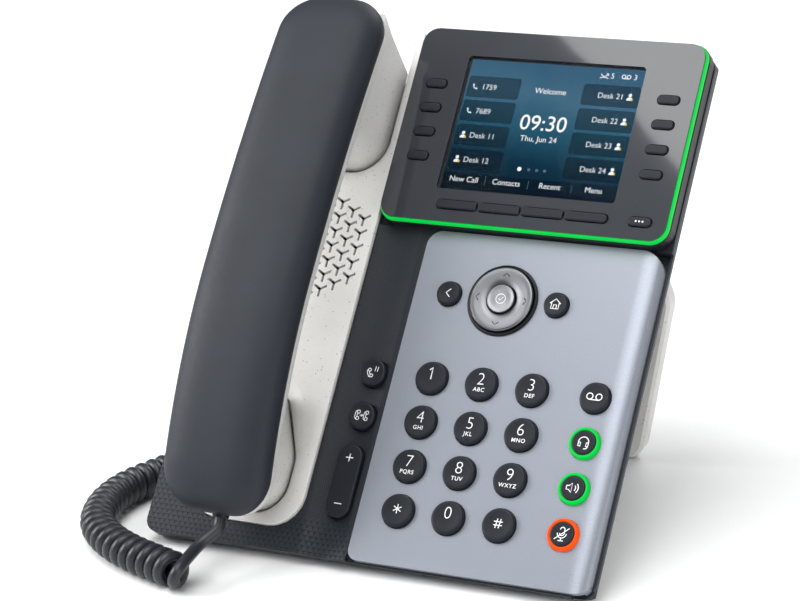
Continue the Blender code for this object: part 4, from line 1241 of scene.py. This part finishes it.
def build_line_boxes():
    """Four dark boxes down either side of the picture, each naming a line."""
    earpiece = [[(-0.95, 1.0), (-0.45, 0.3)], [(0.3, -0.45), (0.95, -0.95)]]
    bow = [(-0.95, 1.0), (-0.85, 0.0), (-0.1, -0.85), (0.95, -0.95)]
    left_names = ("1759", "7689", "Desk 11", "Desk 12")
    right_names = ("Desk 21", "Desk 22", "Desk 23", "Desk 24")
    for k, (left_text, right_text) in enumerate(zip(left_names, right_names)):
        v = FIRST_ROW_V - ROW_PITCH * k
        spans = (("left", SCREEN_LEFT + 0.6, -11.85), ("right", 13.45, SCREEN_RIGHT - 0.2))
        for side, left, right in spans:
            outline = rounded_box(left, v - BOX_HALF_HEIGHT, right, v + BOX_HALF_HEIGHT, 1.0, 5)
            flat(f"line_box_{side}_{k}", outline, SCREEN_SHADE, SHADE_LIFT)
        if k < 2:
            screen_strokes(f"line_icon_{k}", earpiece + [bow], ICON_PEN, SCREEN_WHITE, -30.05, v)
        else:
            person_icon(f"person_left_{k}", -30.05, v)
        person_icon(f"person_right_{k}", 32.45, v)
        screen_words(left_text, LABEL_SIZE, -27.45, v - 0.1, SCREEN_WHITE, "LEFT", -0.02)
        screen_words(right_text, LABEL_SIZE, 30.05, v - 0.1, SCREEN_WHITE, "RIGHT", -0.02)


def build_status_row():
    """Missed calls and waiting messages, counted at the top right."""
    v = 121.95
    missed = [[(-1.5, 0.6), (0.0, -0.5), (1.5, 0.8)], [(0.7, 0.9), (1.5, 0.8), (1.4, 0.0)]]
    missed.append([(-1.7, -1.0), (-0.6, -0.6), (0.6, -0.6), (1.7, -1.0)])
    screen_strokes("missed_icon", missed, ICON_PEN, SCREEN_WHITE, 20.5, v)
    screen_words("5", COUNT_SIZE, 23.8, v, SCREEN_WHITE)
    flat("status_divider", rounded_box(26.13, v - 1.2, 26.27, v + 1.2, 0.05, 1), SCREEN_DIM, TEXT_LIFT)
    tape = [closing_circle(u, 0.1, 0.72, 16) for u in (-1.0, 1.0)] + [[(-1.0, -0.65), (1.0, -0.65)]]
    screen_strokes("waiting_icon", tape, ICON_PEN, SCREEN_WHITE, 29.2, v)
    screen_words("3", COUNT_SIZE, 32.9, v, SCREEN_WHITE)


def build_screen():
    """The picture on the display: clock, date, lines, page dots and the soft keys' names."""
    left, bottom, right, top = WINDOW
    flat("screen_mask", rounded_box(left, bottom, right, top, 0.9, 4), DARK_EDGE, -0.35, 0.3)
    backdrop = rounded_box(SCREEN_LEFT, SCREEN_BOTTOM, SCREEN_RIGHT, SCREEN_TOP, 0.2, 2)
    flat("screen_backdrop", backdrop, screen_look(SCREEN_BOTTOM, SCREEN_TOP), 0.0)
    bar = rounded_box(SCREEN_LEFT, SCREEN_BOTTOM, SCREEN_RIGHT, 78.85, 0.2, 2)
    flat("soft_bar", bar, SCREEN_SHADE, SHADE_LIFT, 0.03)
    build_line_boxes()
    build_status_row()
    screen_words("09:30", 8.6, 1.0, 100.85, SCREEN_WHITE, weight=0.04)
    screen_words("Thu, Jun 24", HEADING_SIZE, 0.55, 94.65, SCREEN_WHITE)
    screen_words("Welcome", HEADING_SIZE, 0.75, 114.0, SCREEN_WHITE)
    for u, text in ((-25.15, "New Call"), (-7.85, "Contacts"), (9.65, "Recent"), (27.05, "Menu")):
        screen_words(text, LABEL_SIZE, u, 76.45, SCREEN_WHITE)
    for k, u in enumerate((-4.05, -0.25, 2.95, 6.15)):
        radius, ink = (0.85, SCREEN_WHITE) if k == 0 else (0.6, SCREEN_DIM)
        flat(f"page_dot_{k}", circle(u, 82.45, radius, 20), ink, PAGE_DOT_LIFT)
    for u in (-16.45, 0.95, 18.35):
        divider = rounded_box(u - 0.08, 74.6, u + 0.08, 78.05, 0.05, 1)
        flat("soft_divider", divider, SCREEN_DIM, TEXT_LIFT)
    paint(NODES["lcd_module"], DARK_EDGE)
    window = plate("display_window", [rounded_box(left, bottom, right, top, 0.9, 4)], 5.4, 5.98, 0.05, 1)
    clear = veil_look("window_clear", (0.01, 0.012, 0.015), 0.04, 0.3, 120.0, 0.04, 0.06)
    place(window, "base", clear, "lens", FACE, ("display_lens",))


# World x, width, height and number of wires of the open sockets, in millimetres
SOCKETS = ((-60.0, 11.8, 8.4, 8), (-44.0, 11.8, 8.4, 8), (-30.0, 8.0, 6.8, 4))


def build_sockets():
    """A raised rim round each open socket and its row of gold wires, bent down from the roof."""
    face_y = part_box("jack_block")[1].y / MM
    plug_low, plug_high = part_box("cord_base_plug")
    level = (plug_low.z + plug_high.z) / 2 / MM
    backwards = Matrix.Rotation(math.radians(-90), 4, "X")
    for k, (x, width, height, count) in enumerate(SOCKETS):
        outer = rounded_box(-width / 2 - 1, -height / 2 - 1, width / 2 + 1, height / 2 + 1, 0.8, 4)
        inner = rounded_box(-width / 2, -height / 2, width / 2, height / 2, 0.2, 2)
        rim = plate(f"socket_rim_{k}", [outer, inner], 0, 0.45, 0.15)
        mouth = Matrix.Translation(Vector((x, face_y, level)) * MM)
        place(rim, "base", REAR, "black_part", mouth @ backwards)
        wires = []
        for i in range(count):
            wire_x = x + (i - (count - 1) / 2) * 1.02
            bend = [(0, 0.0, 0.0), (0, 4.5, -0.6), (0, 1.2, -height * 0.55)]
            route = [Vector((wire_x, face_y - 8.5, level + height / 2 - 0.6)) + Vector(p) for p in bend]
            wires.append(sweep("wire", route, 0.4, 8))
        place(joined(f"socket_wires_{k}", wires, 60), "base", GOLD)


def build_screws():
    """Cross-headed screws that hold the back to the front."""
    for k, (u, v) in enumerate(((-98, 20), (36, 0), (-80, 93), (20, 93))):
        head = turned("screw", [(0, 0.45), (1.7, 0.42), (2.5, 0.2), (2.7, 0.0), (2.7, -0.6), (0, -0.6)], 32)
        for turn in (0, 90):
            slot = box("slot", (-1.5, -0.28, 0.0), (1.5, 0.28, 1.0))
            slot.matrix_world = Matrix.Rotation(math.radians(turn + 17 * k), 4, "Z")
            head = boolean(head, slot)
        head.name = f"back_screw_{k}"
        place(head, "base", STEEL, matrix=on_face(u, v, -28.0) @ Matrix.Rotation(math.pi, 4, "X"))


def build_tick_marks():
    """Faint printed ticks that lead from the line keys toward the picture."""
    for side, u in (("left", -38.9), ("right", 40.6)):
        for k in range(1, 5):
            middle = centre_of(f"line_key_{side}_{k}")[0]
            tick = plate(f"tick_{side}_{k}", [rounded_box(-1.0, -0.11, 1.0, 0.11, 0.08, 2)], 0, 0.02)
            place(tick, "base", FAINT_INK, matrix=on_face(u, middle.y, BEZEL_TOP))


def light_strip():
    """The lit strip along the bezel's lower and right edges, thinning out round the end corners."""
    low, high = centre_of("display_bezel")[1:]
    steps = 14
    inner = rounded_box(low.x, low.y, high.x, high.y, 6.0, steps)
    reach = 0.8
    outer = rounded_box(low.x - reach, low.y - reach, high.x + reach, high.y + reach, 6 + reach, steps)
    first, last = 2, 3 * (steps + 1) - 3
    inside, outside = [], []
    for i in range(first, last + 1):
        near_end = min(i - first, last - i)
        width = min(1.0, 0.12 + near_end / 9)
        inside.append(inner[i])
        outside.append(tuple(Vector(inner[i]).lerp(Vector(outer[i]), width)))
    strip = plate("light_strip", [outside + inside[::-1]], 3.7, BEZEL_TOP - 0.25, 0.12, 2)
    place(strip, "base", GREEN, "light", FACE, ("light_bar",))


build_housing()
build_panel()
build_sockets()
build_screws()
build_cradle()
build_screen()
build_tick_marks()
light_strip()


# ---------------------------------------------------------------- floor, lights

def build_stage():
    bm = bmesh.new()
    bmesh.ops.create_grid(bm, x_segments=1, y_segments=1, size=6)
    floor = object_from("floor", bm)
    paint(floor, moulded("pale_floor", (0.88, 0.88, 0.88), 0.6, 0.01, 0.00001, 300.0))
    world = bpy.data.worlds.new("studio")
    world.use_nodes = True
    world.node_tree.nodes["Background"].inputs["Color"].default_value = (0.95, 0.97, 1.0, 1)
    world.node_tree.nodes["Background"].inputs["Strength"].default_value = 0.22
    bpy.context.scene.world = world
    bpy.context.scene.view_settings.view_transform = "Standard"


def area_light(name, at, aim, width, height, radiance):
    light = bpy.data.lights.new(name, "AREA")
    light.shape = "RECTANGLE"
    light.size = width
    light.size_y = height
    light.energy = radiance * math.pi * width * height
    obj = new_object(name, light)
    obj.location = at
    obj.rotation_euler = (Vector(aim) - Vector(at)).to_track_quat("-Z", "Y").to_euler()
    return obj


def overhead_softbox():
    """A large softbox above the phone. Its near edge runs slantwise across the bezel's reflection."""
    toward = Vector((-0.3724, -0.4248, 0.8251))
    level = toward.cross(Vector((0, 0, 1))).normalized()
    rise = level.cross(toward)
    slope = math.atan(0.145)
    right = level * math.cos(slope) + rise * math.sin(slope)
    up = rise * math.cos(slope) - level * math.sin(slope)
    depth, width = 1.1, 1.7
    centre = Vector((0.051, 0.050, 0.148)) + toward * 1.4 + up * depth / 2 - right * 0.25
    light = area_light("overhead_softbox", centre, (0, 0, 0), width, depth, 4.5)
    light.matrix_world = Matrix.Translation(centre) @ Matrix((-right, up, toward)).transposed().to_4x4()


build_stage()
overhead_softbox()
area_light("rear_softbox", (0.3, 1.7, 1.3), (0.0, 0.75, 0.0), 1.4, 1.4, 4.0)
area_light("left_softbox", (-1.3, -0.5, 0.75), (-0.05, 0, 0.08), 0.9, 0.9, 11.0)
area_light("right_fill", (1.1, -0.7, 0.35), (0.08, 0, 0.05), 0.7, 0.7, 3.6)
